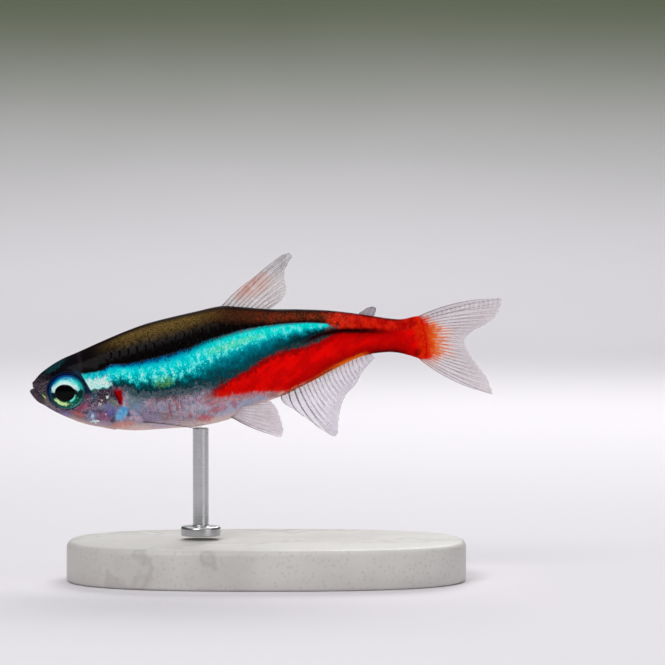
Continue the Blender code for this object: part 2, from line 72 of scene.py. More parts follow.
HALF_WIDTH = [(-0.10, 0.0), (0.17, 0.44), (0.46, 0.64), (0.90, 0.88), (1.60, 1.14), (2.67, 1.40),
              (4.00, 1.62), (6.00, 1.88), (8.50, 2.08), (11.5, 2.15), (14.0, 2.05), (17.0, 1.76),
              (20.0, 1.40), (23.0, 1.06), (26.0, 0.76), (28.0, 0.58), (29.1, 0.34), (29.75, 0.03)]
SECTION_POWER = 2.1

# Lines on the head, as side views (s, h).
MOUTH_LINE = [(-0.30, 0.24), (0.18, 0.17), (0.42, -0.20), (0.66, -0.56)]
JAW_LINE = [(0.66, -0.56), (0.95, -1.05), (1.45, -1.62)]
GILL_LINE = [(6.10, 4.20), (5.75, 2.80), (5.35, 1.50), (5.30, 0.60), (5.80, -0.10),
             (6.50, -0.80), (6.95, -1.60), (7.05, -2.40), (6.75, -3.00), (6.00, -3.60),
             (4.90, -4.50)]
CHEEK_LINE = [(4.35, 0.60), (4.25, -0.40), (4.50, -1.30), (4.55, -2.00), (4.10, -2.55),
              (3.20, -2.55)]
NOSTRILS = [(0.78, 0.62, 0.12), (1.06, 0.79, 0.15)]

# Grooves and ridges of the head: line, distance from it, width and height.
HEAD_RELIEF = [(MOUTH_LINE, 0.27, 0.22, 0.09), (MOUTH_LINE, 0.0, 0.07, -0.17),
               (JAW_LINE, 0.0, 0.06, -0.035), (CHEEK_LINE, 0.0, 0.07, -0.035),
               (CHEEK_LINE, 0.15, 0.10, 0.02)]
NOSTRIL_RIM, NOSTRIL_DEPTH = 0.03, 0.13   # nostrils themselves are (s, h, radius)
GILL_RISE, GILL_GROOVE = 0.15, 0.05

# The eyes.
EYE_S, EYE_H, EYE_BASE_Y = 2.79, -0.37, 0.42
EYE_RADIUS = 1.37
EYE_SIDE, EYE_DOME = 0.66, 0.58
EYE_BACK = [(0.0, 0.05), (EYE_RADIUS * 0.6, 0.06), (EYE_RADIUS - 0.1, 0.12), (EYE_RADIUS, 0.3)]
EYE_RINGS, EYE_SEGMENTS = 42, 96
CORNEA_RADIUS, CORNEA_RISE = 0.78, 0.10
EYE_LEAN = math.radians(11)
EYE_LONG, EYE_TALL = 1.06, 0.97   # stretch of its round outline
SOCKET_RADIUS = 1.375
SOCKET_LEVEL = 0.42           # how far out the socket's floor lies, along the eye's axis
SOCKET_REACH = 2.2            # how far round the eye the skin is shaped
SOCKET_RIM_RADIUS, SOCKET_RIM_WIDTH, SOCKET_RIM_RISE = 1.56, 0.12, 0.05

# The ends of the body.
JAW_TIP_SETBACK = 0.14        # how far the top of the lower jaw's tip is rounded back
LIP_S, LIP_SETBACK = 0.12, 0.9   # where the upper lip's steep front lies, and how steep it is
TAIL_ROUND_S, TAIL_ROUND_H = 28.6, 1.6
TAIL_BULGE = 0.12             # how far the middle of the tail stalk's end runs out on the fin

# Markings as side views (s, h): the blue stripe, the red band and the tail's dark line.
STRIPE_TOP = [(-0.10, -0.20), (0.50, 0.20), (1.20, 0.62), (2.50, 1.02), (3.30, 0.95),
              (3.96, 0.78), (4.86, 0.77), (5.57, 0.96), (6.28, 1.20), (7.60, 1.12), (8.62, 1.21),
              (10.15, 1.36), (11.93, 1.65), (13.73, 2.08), (15.0, 2.29), (16.96, 2.52),
              (18.89, 2.54), (20.81, 2.42), (22.21, 2.20), (23.2, 1.95), (26.0, 1.30),
              (29.5, 0.75)]
STRIPE_BOTTOM = [(-0.10, -0.80), (3.0, -0.50), (4.41, -0.39), (5.83, -0.50), (6.97, -0.45),
                 (8.11, -0.96), (10.72, -1.23), (12.47, -1.11), (14.26, -0.75), (15.58, -0.47),
                 (17.10, 0.19), (18.64, 0.66), (20.14, 1.04), (21.62, 1.36), (23.11, 1.52),
                 (26.0, 1.00), (29.5, 0.45)]
RED_TOP = [(12.6, -1.95), (13.21, -1.81), (13.81, -1.59), (15.05, -0.99), (16.57, -0.42),
           (17.59, 0.02), (18.80, 0.46), (20.56, 0.60), (22.03, 0.88), (23.14, 1.32),
           (24.2, 2.9), (25.0, 4.0)]
RED_BOTTOM = [(12.6, -1.95), (13.18, -2.04), (13.72, -2.25), (15.34, -2.27), (17.84, -2.42),
              (18.85, -2.57), (19.6, -3.2), (21.0, -4.0)]
TAIL_LINE = [(19.9, 0.75), (21.05, 1.09), (22.24, 1.38), (23.4, 1.43), (24.55, 1.29),
             (25.68, 1.14), (26.8, 0.93), (28.5, 0.65)]

# The stripe's slanted front end: a height on it, and how far s changes with each step down.
STRIPE_FRONT_LEVEL, STRIPE_FRONT_LEAN = 0.73, 0.43
# Left and right edge of the gill's red wedge: the height where the edge would reach s = 0, and
# how far s changes with each step of height.
GILL_MARK_LEFT, GILL_MARK_RIGHT = (18.67, 0.315), (-88.46, 0.078)

# Scales in rows along the body.
SCALE_STEP = 0.66             # from one scale to the next in a row
ROW_STEP = 0.58
SCALE_LENGTH, SCALE_WIDTH = 1.05, 0.98
SCALE_LIFT, SCALE_SINK, SCALE_THICK = 0.005, 0.018, 0.014
SCALE_GRID = 7
SCALE_ROWS, SCALES_IN_ROW = 10, 46   # rows above and below the middle one, and places in each
SCALES_START = 4.6
SCALES_TOP, SCALES_BOTTOM = 0.08, 0.95   # where rows end, as parts of the way from back to belly
SCALE_GAP_GILL, SCALE_GAP_TAIL = 0.12, 0.9
SCALE_UNEVEN = 0.002          # how much the scales differ in height
SCALE_ARCH, SCALE_TAPER = 0.40, 0.14   # how much their rear edges and their sides are rounded
SCALE_RISE_POWER, SCALE_HOLLOW = 0.7, 0.004
SCALE_PATCH = 0.003           # how wide each scale's patch is on the map OFBake

# Fins, with the root and tips that the solids have.
FINS = {
    "dorsal_fin": dict(
        rays=11, unbranched=2, bow=(0.12, 0.10), flare=1,
        root=[(0, 14.50, 3.95, 0), (1, 17.80, 3.20, 0)],
        tips=[(0, 17.30, 6.06, 0), (0.08, 18.85, 7.00, 0), (0.16, 20.10, 7.68, 0),
              (0.22, 20.55, 7.74, 0), (0.28, 20.74, 7.46, 0), (0.36, 20.40, 7.00, 0),
              (0.48, 20.02, 6.35, 0), (0.6, 19.94, 5.65, 0), (0.74, 19.95, 5.00, 0),
              (0.87, 19.58, 4.36, 0), (1, 18.80, 3.85, 0)]),
    "adipose_fin": dict(
        rays=5, unbranched=5, bow=(0.12, -0.05), flare=1, web_half=0.07, fleshy=True,
        root=[(0, 24.75, 2.05, 0), (1, 25.90, 1.70, 0)],
        tips=[(0, 25.48, 2.66, 0), (0.3, 25.78, 2.84, 0), (0.55, 26.16, 2.88, 0),
              (0.8, 26.44, 2.70, 0), (1, 26.38, 2.52, 0)]),
    "anal_fin": dict(
        rays=21, unbranched=3, bow=(-0.42, -0.12), flare=1,
        root=[(0, 18.85, -2.30, 0), (0.5, 22.15, -1.35, 0), (1, 25.55, -0.30, 0)],
        tips=[(0, 18.98, -3.72, 0), (0.05, 20.04, -4.68, 0), (0.1, 21.20, -5.82, 0),
              (0.14, 22.05, -6.46, 0), (0.18, 22.32, -6.34, 0), (0.26, 22.50, -5.55, 0),
              (0.4, 22.86, -4.35, 0), (0.54, 23.40, -3.42, 0), (0.7, 24.15, -2.80, 0),
              (0.82, 24.64, -2.14, 0), (0.92, 25.30, -1.45, 0), (1, 25.88, -1.00, 0)]),
    "caudal_fin": dict(
        rays=23, unbranched=2, bow=(0.26, -0.26), flare=1,
        root=[(0, 29.10, 1.52, 0), (1, 29.10, -1.42, 0)],
        tips=[(0, 34.50, 2.32, 0), (0.04, 35.95, 2.16, 0), (0.14, 35.55, 1.15, 0),
              (0.26, 34.60, 0.42, 0), (0.4, 33.20, -0.12, 0), (0.5, 32.72, -0.75, 0),
              (0.6, 32.95, -1.60, 0), (0.74, 33.55, -2.75, 0), (0.86, 34.15, -3.90, 0),
              (0.96, 34.35, -4.95, 0), (1, 33.30, -4.48, 0)]),
    "pectoral_fin": dict(
        rays=10, unbranched=1, bow=(0.15, 0.05), flare=3,
        root=[(0, 7.10, -3.25, 0.55), (1, 7.45, -2.50, 1.00)],
        tips=[(0, 12.10, -4.42, 2.05), (0.1, 12.50, -4.40, 2.15), (0.3, 12.15, -3.95, 2.40),
              (0.6, 11.20, -3.35, 2.65), (1, 9.50, -2.75, 2.60)]),
    "pelvic_fin": dict(
        rays=8, unbranched=1, bow=(-0.10, 0.05), flare=1.5,
        root=[(0, 14.35, -3.72, 0.42), (1, 14.98, -3.28, 0.75)],
        tips=[(0, 17.30, -5.54, 1.25), (0.12, 18.05, -5.86, 1.35), (0.24, 18.32, -5.58, 1.42),
              (0.4, 18.27, -5.02, 1.50), (0.6, 18.16, -4.38, 1.58), (0.8, 17.98, -3.76, 1.60),
              (1, 17.64, -3.24, 1.58)]),
}
RAY_SPLITS = (0.42, 0.72)     # where rays branch, as parts of their length
WEB_HALF = 0.016              # half the membrane's thickness
WEB_NOTCH = 0.012             # how far its edge falls back between the rays
WEB_EDGE_WANDER = 0.004
WEB_COLUMNS_PER_RAY, WEB_ROWS = 8, 41
RAY_SIDES, RAY_STEPS = 6, 15
RAY_OVERLAP = 0.02            # how far each stretch of a ray runs into the next
FRONT_RAY_STRENGTH = 1.35     # how much thicker the front rays are
# Radii of a ray's stretches at their start and end.
OUTER_RAY, RAY_STEM = (0.050, 0.012), (0.046, 0.034)
RAY_BRANCH, RAY_TWIG = (0.027, 0.021), (0.017, 0.007)
# How far a branch, its pair of twigs and each twig of the pair lie to the side, as parts of the
# space between rays.
BRANCH_APART, TWIG_PAIR_APART, TWIG_APART = 0.17, 0.25, 0.09
TWIG_END = 0.995              # where twigs end, as a part of the ray's length

# The stand.
BASE_HALF_LENGTH, BASE_HALF_WIDTH, BASE_HEIGHT = 15.0, 9.0, 3.0
BASE_ROUNDING = 2.6           # power of the rounded outline, where 2 is an oval
BASE_BEVEL = 0.5
BASE_SEGMENTS, BASE_TOP_INSETS = 240, (2.0, 5.0, 8.0)
BASE_SHARP, ROD_SHARP = math.radians(50), math.radians(40)   # edges above these stay sharp
ROD_RADIUS, ROD_EDGE, ROD_SEGMENTS = 0.6, 0.06, 64
COLLAR_RADIUS, COLLAR_HEIGHT, COLLAR_BEVEL = 1.5, 0.7, 0.2
COLLAR_EDGE, COLLAR_FILLET = 0.05, 0.12
ROD_FOOT = 3.3                # height of the collar's underside


def srgb(red, green, blue):
    """Linear colour of a display colour, whose parts run from 0 to 255."""
    parts = [c / 255 for c in (red, green, blue)]
    linear = [c / 12.92 if c <= 0.04045 else ((c + 0.055) / 1.055) ** 2.4 for c in parts]
    return (*linear, 1.0)


# Shape of the body.

def smooth(points, x):
    """Value at x of a smooth curve through the points, without overshoot."""
    xs, ys = np.array(points, dtype=float).T
    x = np.clip(x, xs[0], xs[-1])
    step = np.diff(xs)
    slope = np.diff(ys) / step
    before, after = slope[:-1], slope[1:]
    product = before * after
    turning = product <= 0
    total = np.where(turning, 1.0, before + after)
    inner = np.where(turning, 0.0, 2 * product / total)
    tangent = np.concatenate(([slope[0]], inner, [slope[-1]]))
    i = np.clip(np.searchsorted(xs, x) - 1, 0, len(step) - 1)
    t = (x - xs[i]) / step[i]
    ahead = t * t * (3 - 2 * t)
    bend = tangent[i] * t * (1 - t) ** 2 - tangent[i + 1] * t * t * (1 - t)
    return ys[i] * (1 - ahead) + ys[i + 1] * ahead + bend * step[i]


def from_nose(s):
    return np.sqrt(np.maximum(np.asarray(s, dtype=float) - NOSE_S, 0.0))


def outline(points, s):
    return smooth([(float(from_nose(p)), q) for p, q in points], from_nose(s))


def to_world(points):
    """World places, in metres, of points (s, y, h) in the fish frame."""
    s, y, h = np.moveaxis(np.asarray(points, dtype=float), -1, 0)
    part = np.clip((s - SWAY_START) / (SWAY_END - SWAY_START), 0.0, None)
    x = SNOUT_X + s * math.cos(PITCH) - h * math.sin(PITCH)
    z = SNOUT_Z + s * math.sin(PITCH) + h * math.cos(PITCH)
    return np.stack((x, y + SWAY * part ** 2, z), axis=-1) * MM


def unit(vectors):
    return vectors / np.maximum(np.linalg.norm(vectors, axis=-1, keepdims=True), 1e-12)


def step_up(x, low, high):
    """Smooth step from 0 at low to 1 at high."""
    t = np.clip((x - low) / (high - low), 0.0, 1.0)
    return t * t * (3 - 2 * t)


def hill(distance, width):
    return np.exp(-(distance / width) ** 2)


def full_turn(count):
    """Evenly spaced angles of a full turn."""
    return 2 * math.pi * np.arange(count) / count


def quarter_turn(count):
    """Evenly spaced angles from none to a right angle, both included."""
    return np.linspace(0, math.pi / 2, count)


def swell(part, power):
    """Cosines or sines of a circle, changed so that its outline is fuller above power 2."""
    return np.sign(part) * np.abs(part) ** (2 / power)


def body_rings(roots, around):
    """Plain body surface as a (stations, around, 3) array, and its outward normals."""
    s = NOSE_S + roots ** 2
    top, bottom, width = (outline(line, s)[:, None] for line in (BACK, BELLY, HALF_WIDTH))
    angle = full_turn(around)
    up, side = np.cos(angle)[None, :], np.sin(angle)[None, :]
    middle, half = (top + bottom) / 2, (top - bottom) / 2
    h = middle + half * swell(up, SECTION_POWER)
    y = width * swell(side, SECTION_POWER)
    points = np.stack((np.broadcast_to(s[:, None], h.shape), y, h), axis=-1)
    ahead = np.gradient(points, axis=0)
    across = np.roll(points, -1, axis=1) - np.roll(points, 1, axis=1)
    return points, unit(np.cross(ahead, across))


def distance_to_line(s, h, line):
    """Side-view distance of points to a line of short straight steps."""
    best = np.full(np.shape(s), np.inf)
    for (s0, h0), (s1, h1) in zip(line, line[1:]):
        ds, dh = s1 - s0, h1 - h0
        t = np.clip(((s - s0) * ds + (h - h0) * dh) / (ds * ds + dh * dh), 0.0, 1.0)
        best = np.minimum(best, np.hypot(s - s0 - t * ds, h - h0 - t * dh))
    return best


def gill_edge(h):
    """Where the gill cover ends, at a height."""
    return smooth([(q, p) for p, q in reversed(GILL_LINE)], h)


def relief(s, h):
    """Height of lips, mouth groove, jaw, nostrils and gill cover over the plain body."""
    rise = np.zeros(np.shape(s))
    for line, away, width, height in HEAD_RELIEF:
        rise += height * hill(distance_to_line(s, h, line) - away, width)
    for place_s, place_h, radius in NOSTRILS:
        away = np.hypot(s - place_s, h - place_h)
        rise += NOSTRIL_RIM * hill(away - radius * 1.25, radius * 0.4)
        rise -= NOSTRIL_DEPTH * hill(away, radius * 0.8)
    low, high = GILL_LINE[-1][1], GILL_LINE[2][1]
    fade = np.sin(math.pi * np.clip((h - low) / (high - low), 0.0, 1.0))
    behind = s - gill_edge(h)
    rise += GILL_RISE * fade * step_up(behind, -1.5, -0.05) * step_up(behind, 0.06, -0.02)
    rise -= GILL_GROOVE * fade * hill(behind - 0.08, 0.08)
    return rise


def eye_axis(side):
    """The eye's base point and the direction that it looks in, in the fish frame."""
    base = np.array((EYE_S, side * EYE_BASE_Y, EYE_H))
    return base, np.array((-math.sin(EYE_LEAN), side * math.cos(EYE_LEAN), 0.0))


def sink_sockets(points):
    """Push the skin in under the eyes, with a soft rim round each."""
    flat = points.reshape(-1, 3)
    for side in (-1, 1):
        base, axis = eye_axis(side)
        offset = flat - base
        level = offset @ axis
        sideways = offset - level[:, None] * axis
        radius = np.hypot(np.hypot(sideways[:, 0], sideways[:, 1]) / EYE_LONG,
                          sideways[:, 2] / EYE_TALL)
        near = (level > 0) & (radius < SOCKET_REACH)
        pull = (SOCKET_RADIUS - radius) * hill(radius - SOCKET_RADIUS, 0.05)
        rim = SOCKET_RIM_RISE * hill(radius - SOCKET_RIM_RADIUS, SOCKET_RIM_WIDTH)
        sunk = step_up(radius, SOCKET_RADIUS + 0.04, SOCKET_RADIUS - 0.05)
        new_level = level + rim + (np.minimum(level, SOCKET_LEVEL) - level - rim) * sunk
        spread = 1 + pull / np.maximum(radius, 0.01)
        moved = base + new_level[:, None] * axis + sideways * spread[:, None]
        flat[near] = moved[near]
    return flat.reshape(points.shape)


def shape_ends(points):
    """Round the jaw's tip, flatten the upper lip's front and round the tail stalk's end."""
    s, h = points[..., 0], points[..., 2]
    jaw = JAW_TIP_SETBACK * step_up(h, 0.0, 0.16) * step_up(s, 0.4, 0.0)
    lip = LIP_SETBACK * np.maximum(LIP_S - s, 0.0) * step_up(h, 0.12, 0.19)
    end = step_up(s, TAIL_ROUND_S, TAIL_S) * (1 - (h / TAIL_ROUND_H) ** 2)
    points[..., 0] = s + np.maximum(jaw * step_up(h, 0.30, 0.16), lip) + TAIL_BULGE * end
    return points


def marking_fields(points):
    """Where each point lies against the markings' lines."""
    s, _, h = points.reshape(-1, 3).T
    high, low = smooth(STRIPE_TOP, s), smooth(STRIPE_BOTTOM, s)
    back, belly = outline(BACK, s), outline(BELLY, s)
    return {
        "place": points.reshape(-1, 3),
        "stripe": (h - low) / np.maximum(high - low, 0.2),
        "under": low - h,
        "above": (h - high) / np.maximum(back - high, 0.2),
        "red_high": h - smooth(RED_TOP, s),
        "red_low": h - smooth(RED_BOTTOM, s),
        "tail_line": h - smooth(TAIL_LINE, s),
        "crest": back - h,
        "keel": h - belly,
    }


# Making of pieces.

def new_piece(name, points, faces, materials, fields=None):
    """Smooth-shaded object of world points in metres."""
    mesh = bpy.data.meshes.new(name)
    faces = faces.tolist() if isinstance(faces, np.ndarray) else faces
    mesh.from_pydata(np.asarray(points).reshape(-1, 3).tolist(), [], faces)
    mesh.update()
    mesh.shade_smooth()
    for material in materials:
        mesh.materials.append(material)
    for key, values in (fields or {}).items():
        kind = "FLOAT_VECTOR" if np.ndim(values) == 2 else "FLOAT"
        attribute = mesh.attributes.new(key, kind, "POINT")
        word = "vector" if kind == "FLOAT_VECTOR" else "value"
        attribute.data.foreach_set(word, np.asarray(values, dtype=np.float32).ravel())
    obj = bpy.data.objects.new(name, mesh)
    bpy.context.scene.collection.objects.link(obj)
    return obj


def settle(piece, slot, *nodes):
    """Piece rides with the model and stands for these nodes. The slot is not used."""
    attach(piece, "root")
    if nodes:
        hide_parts(*nodes)
    return piece


def add_map(obj, places):
    """UV map OFBake with one place for each face corner."""
    layer = obj.data.uv_layers.new(name="OFBake")
    layer.uv.foreach_set("vector", np.asarray(places, dtype=np.float32).ravel())


def grid_faces(rows, columns, closed=False, first=0):
    """Quads of a grid of points, joined round across the columns if closed."""
    i, k = np.meshgrid(np.arange(rows - 1), np.arange(columns if closed else columns - 1),
                       indexing="ij")
    after = (k + 1) % columns
    a, b = i * columns, (i + 1) * columns
    return first + np.stack((a + k, b + k, b + after, a + after), axis=-1).reshape(-1, 4)


def sheet_faces(rows, columns):
    """Faces of a thin sheet of two grids, with the skirt that joins them along the rim."""
    one_side = grid_faces(rows, columns)
    size = rows * columns
    index = np.arange(size).reshape(rows, columns)
    rim = np.concatenate((index[0, :-1], index[:-1, -1], index[-1, :0:-1], index[:0:-1, 0]))
    after = np.roll(rim, -1)
    skirt = np.stack((rim, after, after + size, rim + size), axis=-1)
    return np.vstack((one_side[:, ::-1], one_side + size, skirt))


SKIN_STATIONS, SKIN_AROUND = 380, 240


def skin_piece(material):
    """One skin from the snout to the tail fin's root, with sunk sockets."""
    roots = np.linspace(0.0, float(from_nose(TAIL_S)), SKIN_STATIONS + 1)[1:]
    rings, normals = body_rings(roots, SKIN_AROUND)
    rise = relief(rings[..., 0], rings[..., 2])
    rings = shape_ends(sink_sockets(rings + normals * rise[..., None]))
    nose = (NOSE_S, 0.0, NOSE_H)
    tail = (TAIL_S + TAIL_BULGE, 0.0, rings[-1, :, 2].mean())
    points = np.vstack((rings.reshape(-1, 3), [nose, tail]))
    count = SKIN_STATIONS * SKIN_AROUND
    faces = grid_faces(SKIN_STATIONS, SKIN_AROUND, closed=True).tolist()
    last = count - SKIN_AROUND
    for k in range(SKIN_AROUND):
        after = (k + 1) % SKIN_AROUND
        faces.append((count, k, after))
        faces.append((count + 1, last + after, last + k))
    fields = marking_fields(points)
    piece = new_piece("fish_skin", to_world(points), faces, [material], fields)
    places = []
    for face in faces:
        ends = [divmod(i, SKIN_AROUND) if i < count else None for i in face]
        wraps = {e[1] for e in ends if e} >= {0, SKIN_AROUND - 1}
        for corner, end in zip(face, ends):
            if end is None:
                row = 0 if corner == count else SKIN_STATIONS + 1
                column = ends[1][1]
            else:
                row, column = end[0] + 1, end[1]
                column += SKIN_AROUND if wraps and column == 0 else 0
            places.append((row / (SKIN_STATIONS + 1), column / SKIN_AROUND))
    add_map(piece, places)
    return settle(piece, "skin", "head", "lower_jaw", "trunk", "tail_stalk")


class BodyTable:
    """The body's surface, looked up by s and by the part of the way round.

    The part runs from -1 to 1: it is 0 on the back and 1 or -1 on the belly.
    """

    def __init__(self, first_root=0.3, stations=240, columns=320, around=720):
        self.roots = np.linspace(first_root, float(from_nose(TAIL_S)), stations)
        rings, normals = body_rings(self.roots, around)
        steps = np.arange(around // 2 + 1)
        right = rings[:, :len(steps)]
        lengths = np.linalg.norm(np.diff(right, axis=1), axis=2)
        self.half_round = lengths.sum(axis=1)
        self.columns = columns
        shape = (stations, columns, 3)
        self.points, self.normals = np.zeros(shape), np.zeros(shape)
        parts = np.arange(columns) * 2 / columns - 1
        for i in range(stations):
            way = np.concatenate(([0.0], np.cumsum(lengths[i]))) / self.half_round[i]
            column = np.interp(np.abs(parts), way, steps)
            for table, source in ((self.points, rings), (self.normals, normals)):
                for axis in range(3):
                    half = source[i, :len(steps), axis]
                    table[i, :, axis] = np.interp(column, steps, half)
                table[i, :, 1] *= np.where(parts < 0, -1, 1)

    def half(self, s):
        """Distance from the back round to the belly at s."""
        return np.interp(from_nose(s), self.roots, self.half_round)

    def look_up(self, s, part):
        """Points and normals at s and part."""
        i = (from_nose(s) - self.roots[0]) / (self.roots[1] - self.roots[0])
        i = np.clip(i, 0, len(self.roots) - 1.001)
        k = (part + 1) / 2 * self.columns
        i0, k0 = np.floor(i).astype(int), np.floor(k).astype(int)
        di, dk = (i - i0)[..., None], (k - k0)[..., None]
        k0, k1 = k0 % self.columns, (k0 + 1) % self.columns
        found = []
        for table in (self.points, self.normals):
            near = table[i0, k0] * (1 - dk) + table[i0, k1] * dk
            far = table[i0 + 1, k0] * (1 - dk) + table[i0 + 1, k1] * dk
            found.append(near * (1 - di) + far * di)
        return found[0], unit(found[1])


def scale_places(table):
    """Centres (s, distance from the middle line) of one side's scales, in staggered rows."""
    places = []
    for row in range(-SCALE_ROWS, SCALE_ROWS + 1):
        for place in range(SCALES_IN_ROW):
            s = SCALES_START + SCALE_STEP * (place + 0.5 * (row % 2))
            away = ROW_STEP * row
            part = 0.5 + away / float(table.half(s))
            if not SCALES_TOP < part < SCALES_BOTTOM or s > TAIL_S - SCALE_GAP_TAIL:
                continue
            h = table.look_up(np.array([s]), np.array([part]))[0][0, 2]
            if s > float(gill_edge(h)) + SCALE_GAP_GILL:
                places.append((s, away))
    return np.array(places)


def scales_piece(name, side, table, material):
    """One flank's scales: thin plates whose rear edges lie over the next."""
    rng = np.random.default_rng(SEED + side)
    centres = scale_places(table)
    count = len(centres)
    along, across = np.meshgrid(np.linspace(0, 1, SCALE_GRID), np.linspace(-1, 1, SCALE_GRID),
                                indexing="ij")
    arch = 1 - SCALE_ARCH + SCALE_ARCH * np.sqrt(1 - across ** 2)
    ds = SCALE_LENGTH * (along * arch - 0.5)
    dw = SCALE_WIDTH / 2 * across * (1 - SCALE_TAPER + SCALE_TAPER * np.sin(math.pi * along))
    s = centres[:, 0, None, None] + ds
    part = 0.5 + (centres[:, 1, None, None] + dw) / table.half(s)
    surface, normal = table.look_up(s, part * side)
    lift = -SCALE_SINK + (SCALE_SINK + SCALE_LIFT) * along ** SCALE_RISE_POWER
    lift = lift - SCALE_HOLLOW * across ** 2
    lift = lift + rng.uniform(-SCALE_UNEVEN, SCALE_UNEVEN, (count, 1, 1))
    top = surface + normal * lift[..., None]
    low = surface + normal * (lift - SCALE_THICK)[..., None]
    points = np.concatenate((top.reshape(count, -1, 3), low.reshape(count, -1, 3)), axis=1)
    plate = sheet_faces(SCALE_GRID, SCALE_GRID)[:, ::side]
    first = np.arange(count)[:, None, None] * 2 * SCALE_GRID ** 2
    faces = (first + plate).reshape(-1, 4)
    fields = marking_fields(points)
    piece = new_piece(name, to_world(points.reshape(-1, 3)), faces, [material], fields)
    unwrap_s = (centres[:, 0] - NOSE_S) / (TAIL_S - NOSE_S)
    unwrap_w = 0.5 + side * (0.5 + centres[:, 1] / table.half(centres[:, 0])) / 2
    patch = np.stack((along.ravel(), across.ravel() / 2), axis=-1) * SCALE_PATCH
    patch = np.vstack((patch, patch))
    spots = np.stack((unwrap_s, unwrap_w), axis=-1)[:, None, :] + patch[None]
    add_map(piece, spots.reshape(-1, 2)[faces.ravel()])
    return settle(piece, "skin")


# Fins.

def fin_surface(fin, t, u, side):
    """Points of a fin's middle surface: t runs along it, u from root to tip."""
    t, u = np.broadcast_arrays(np.asarray(t, dtype=float), np.asarray(u, dtype=float))
    root, tip = (np.stack([smooth([(p[0], p[k]) for p in fin[key]], t) for k in (1, 3, 2)],
                          axis=-1) for key in ("root", "tips"))
    ray = tip - root
    forward = unit(np.stack((-ray[..., 2], np.zeros_like(t), ray[..., 0]), axis=-1))
    bow = fin["bow"][0] * (1 - t) + fin["bow"][1] * t
    point = root + ray * u[..., None] + forward * (bow * 4 * u * (1 - u))[..., None]
    y = root[..., 1] + ray[..., 1] * (1 - (1 - u) ** fin["flare"])
    return np.stack((point[..., 0], y * side, point[..., 2]), axis=-1)


def web_part(fin, side, shift):
    """The membrane: a thin closed sheet, a little thicker along the rays."""
    rays = fin["rays"]
    columns, rows = (rays - 1) * WEB_COLUMNS_PER_RAY + 1, WEB_ROWS
    t = np.linspace(0, 1, columns)
    near_ray = np.abs(np.cos(math.pi * t * (rays - 1))) ** 4
    wander = WEB_EDGE_WANDER * np.sin(shift + 23 * t) ** 2
    reach = 1 - WEB_NOTCH * (1 - near_ray) - wander
    u = np.linspace(0, 1, rows)[:, None] * reach[None, :]
    middle = fin_surface(fin, t[None, :], u, side)
    normal = unit(np.cross(np.gradient(middle, axis=0), np.gradient(middle, axis=1)))
    half = fin.get("web_half", WEB_HALF) * (0.6 + 0.9 * near_ray[None, :]) * (1.2 - 0.7 * u)
    points = [(middle + normal * sign * half[..., None]).reshape(-1, 3) for sign in (1, -1)]
    fields = {"along": np.tile(u.ravel(), 2), "across": np.tile(np.tile(t, rows), 2)}
    return np.vstack(points), sheet_faces(rows, columns), fields


def tube(path, radii):
    """Points of a round strand along a path."""
    ahead = unit(np.gradient(path, axis=0))
    across = unit(np.cross(ahead, np.array((0.0, 1.0, 0.0))))
    over = np.cross(across, ahead)
    angle = full_turn(RAY_SIDES)[None, :, None]
    ring = across[:, None] * np.cos(angle) + over[:, None] * np.sin(angle)
    return (path[:, None] + ring * radii[:, None, None]).reshape(-1, 3)


def strands(fin, j):
    """Stretches (start, end, shifts at both, radii at both) of one ray and its branches."""
    rays = fin["rays"]
    first, second = RAY_SPLITS
    outer = j < fin["unbranched"] or j >= rays - (fin["unbranched"] > 1)
    thick = FRONT_RAY_STRENGTH if j <= fin["unbranched"] else 1.0
    wide = 1 / (rays - 1)
    if outer:
        return [(0.0, 1.0, 0.0, 0.0, OUTER_RAY[0] * thick, OUTER_RAY[1])]
    parts = [(0.0, first + RAY_OVERLAP, 0.0, 0.0, RAY_STEM[0] * thick, RAY_STEM[1] * thick)]
    for a in (-1, 1):
        branch = a * BRANCH_APART * wide
        parts.append((first, second + RAY_OVERLAP, 0.0, branch, RAY_BRANCH[0] * thick,
                      RAY_BRANCH[1]))
        for b in (-1, 1):
            twig = (a * TWIG_PAIR_APART + b * TWIG_APART) * wide
            parts.append((second, TWIG_END, branch, twig, *RAY_TWIG))
    return parts


# Corners of the two quads that close a strand's end: each pair has one corner of both.
RAY_END_QUADS = [[0, 0], [1, 3], [2, 4], [3, 5]]


def rays_part(fin, side):
    """The rays as thin tapered strands in the membrane, branched towards their tips."""
    points, faces, along, across = [], [], [], []
    sides, steps = RAY_SIDES, RAY_STEPS
    first = 0
    for j in range(fin["rays"]):
        t = j / (fin["rays"] - 1)
        for start, end, shift0, shift1, radius0, radius1 in strands(fin, j):
            part = np.linspace(0, 1, steps)
            u = start + (end - start) * part
            place = np.clip(t + shift0 + (shift1 - shift0) * part, 0, 1)
            path = fin_surface(fin, place, u, side)
            radii = radius0 + (radius1 - radius0) * part
            radii[[0, -1]] *= 0.25
            points.append(tube(path, radii))
            faces.append(grid_faces(steps, sides, closed=True, first=first))
            for ring in (0, steps - 1):
                corners = first + ring * sides + np.arange(sides)
                ends = corners if ring == 0 else corners[::-1]
                faces.append(np.stack([ends[pair] for pair in RAY_END_QUADS], axis=-1))
            along.append(np.repeat(u, sides))
            across.append(np.repeat(place, sides))
            first += steps * sides
    fields = {"along": np.concatenate(along), "across": np.concatenate(across)}
    return np.vstack(points), np.vstack(faces), fields


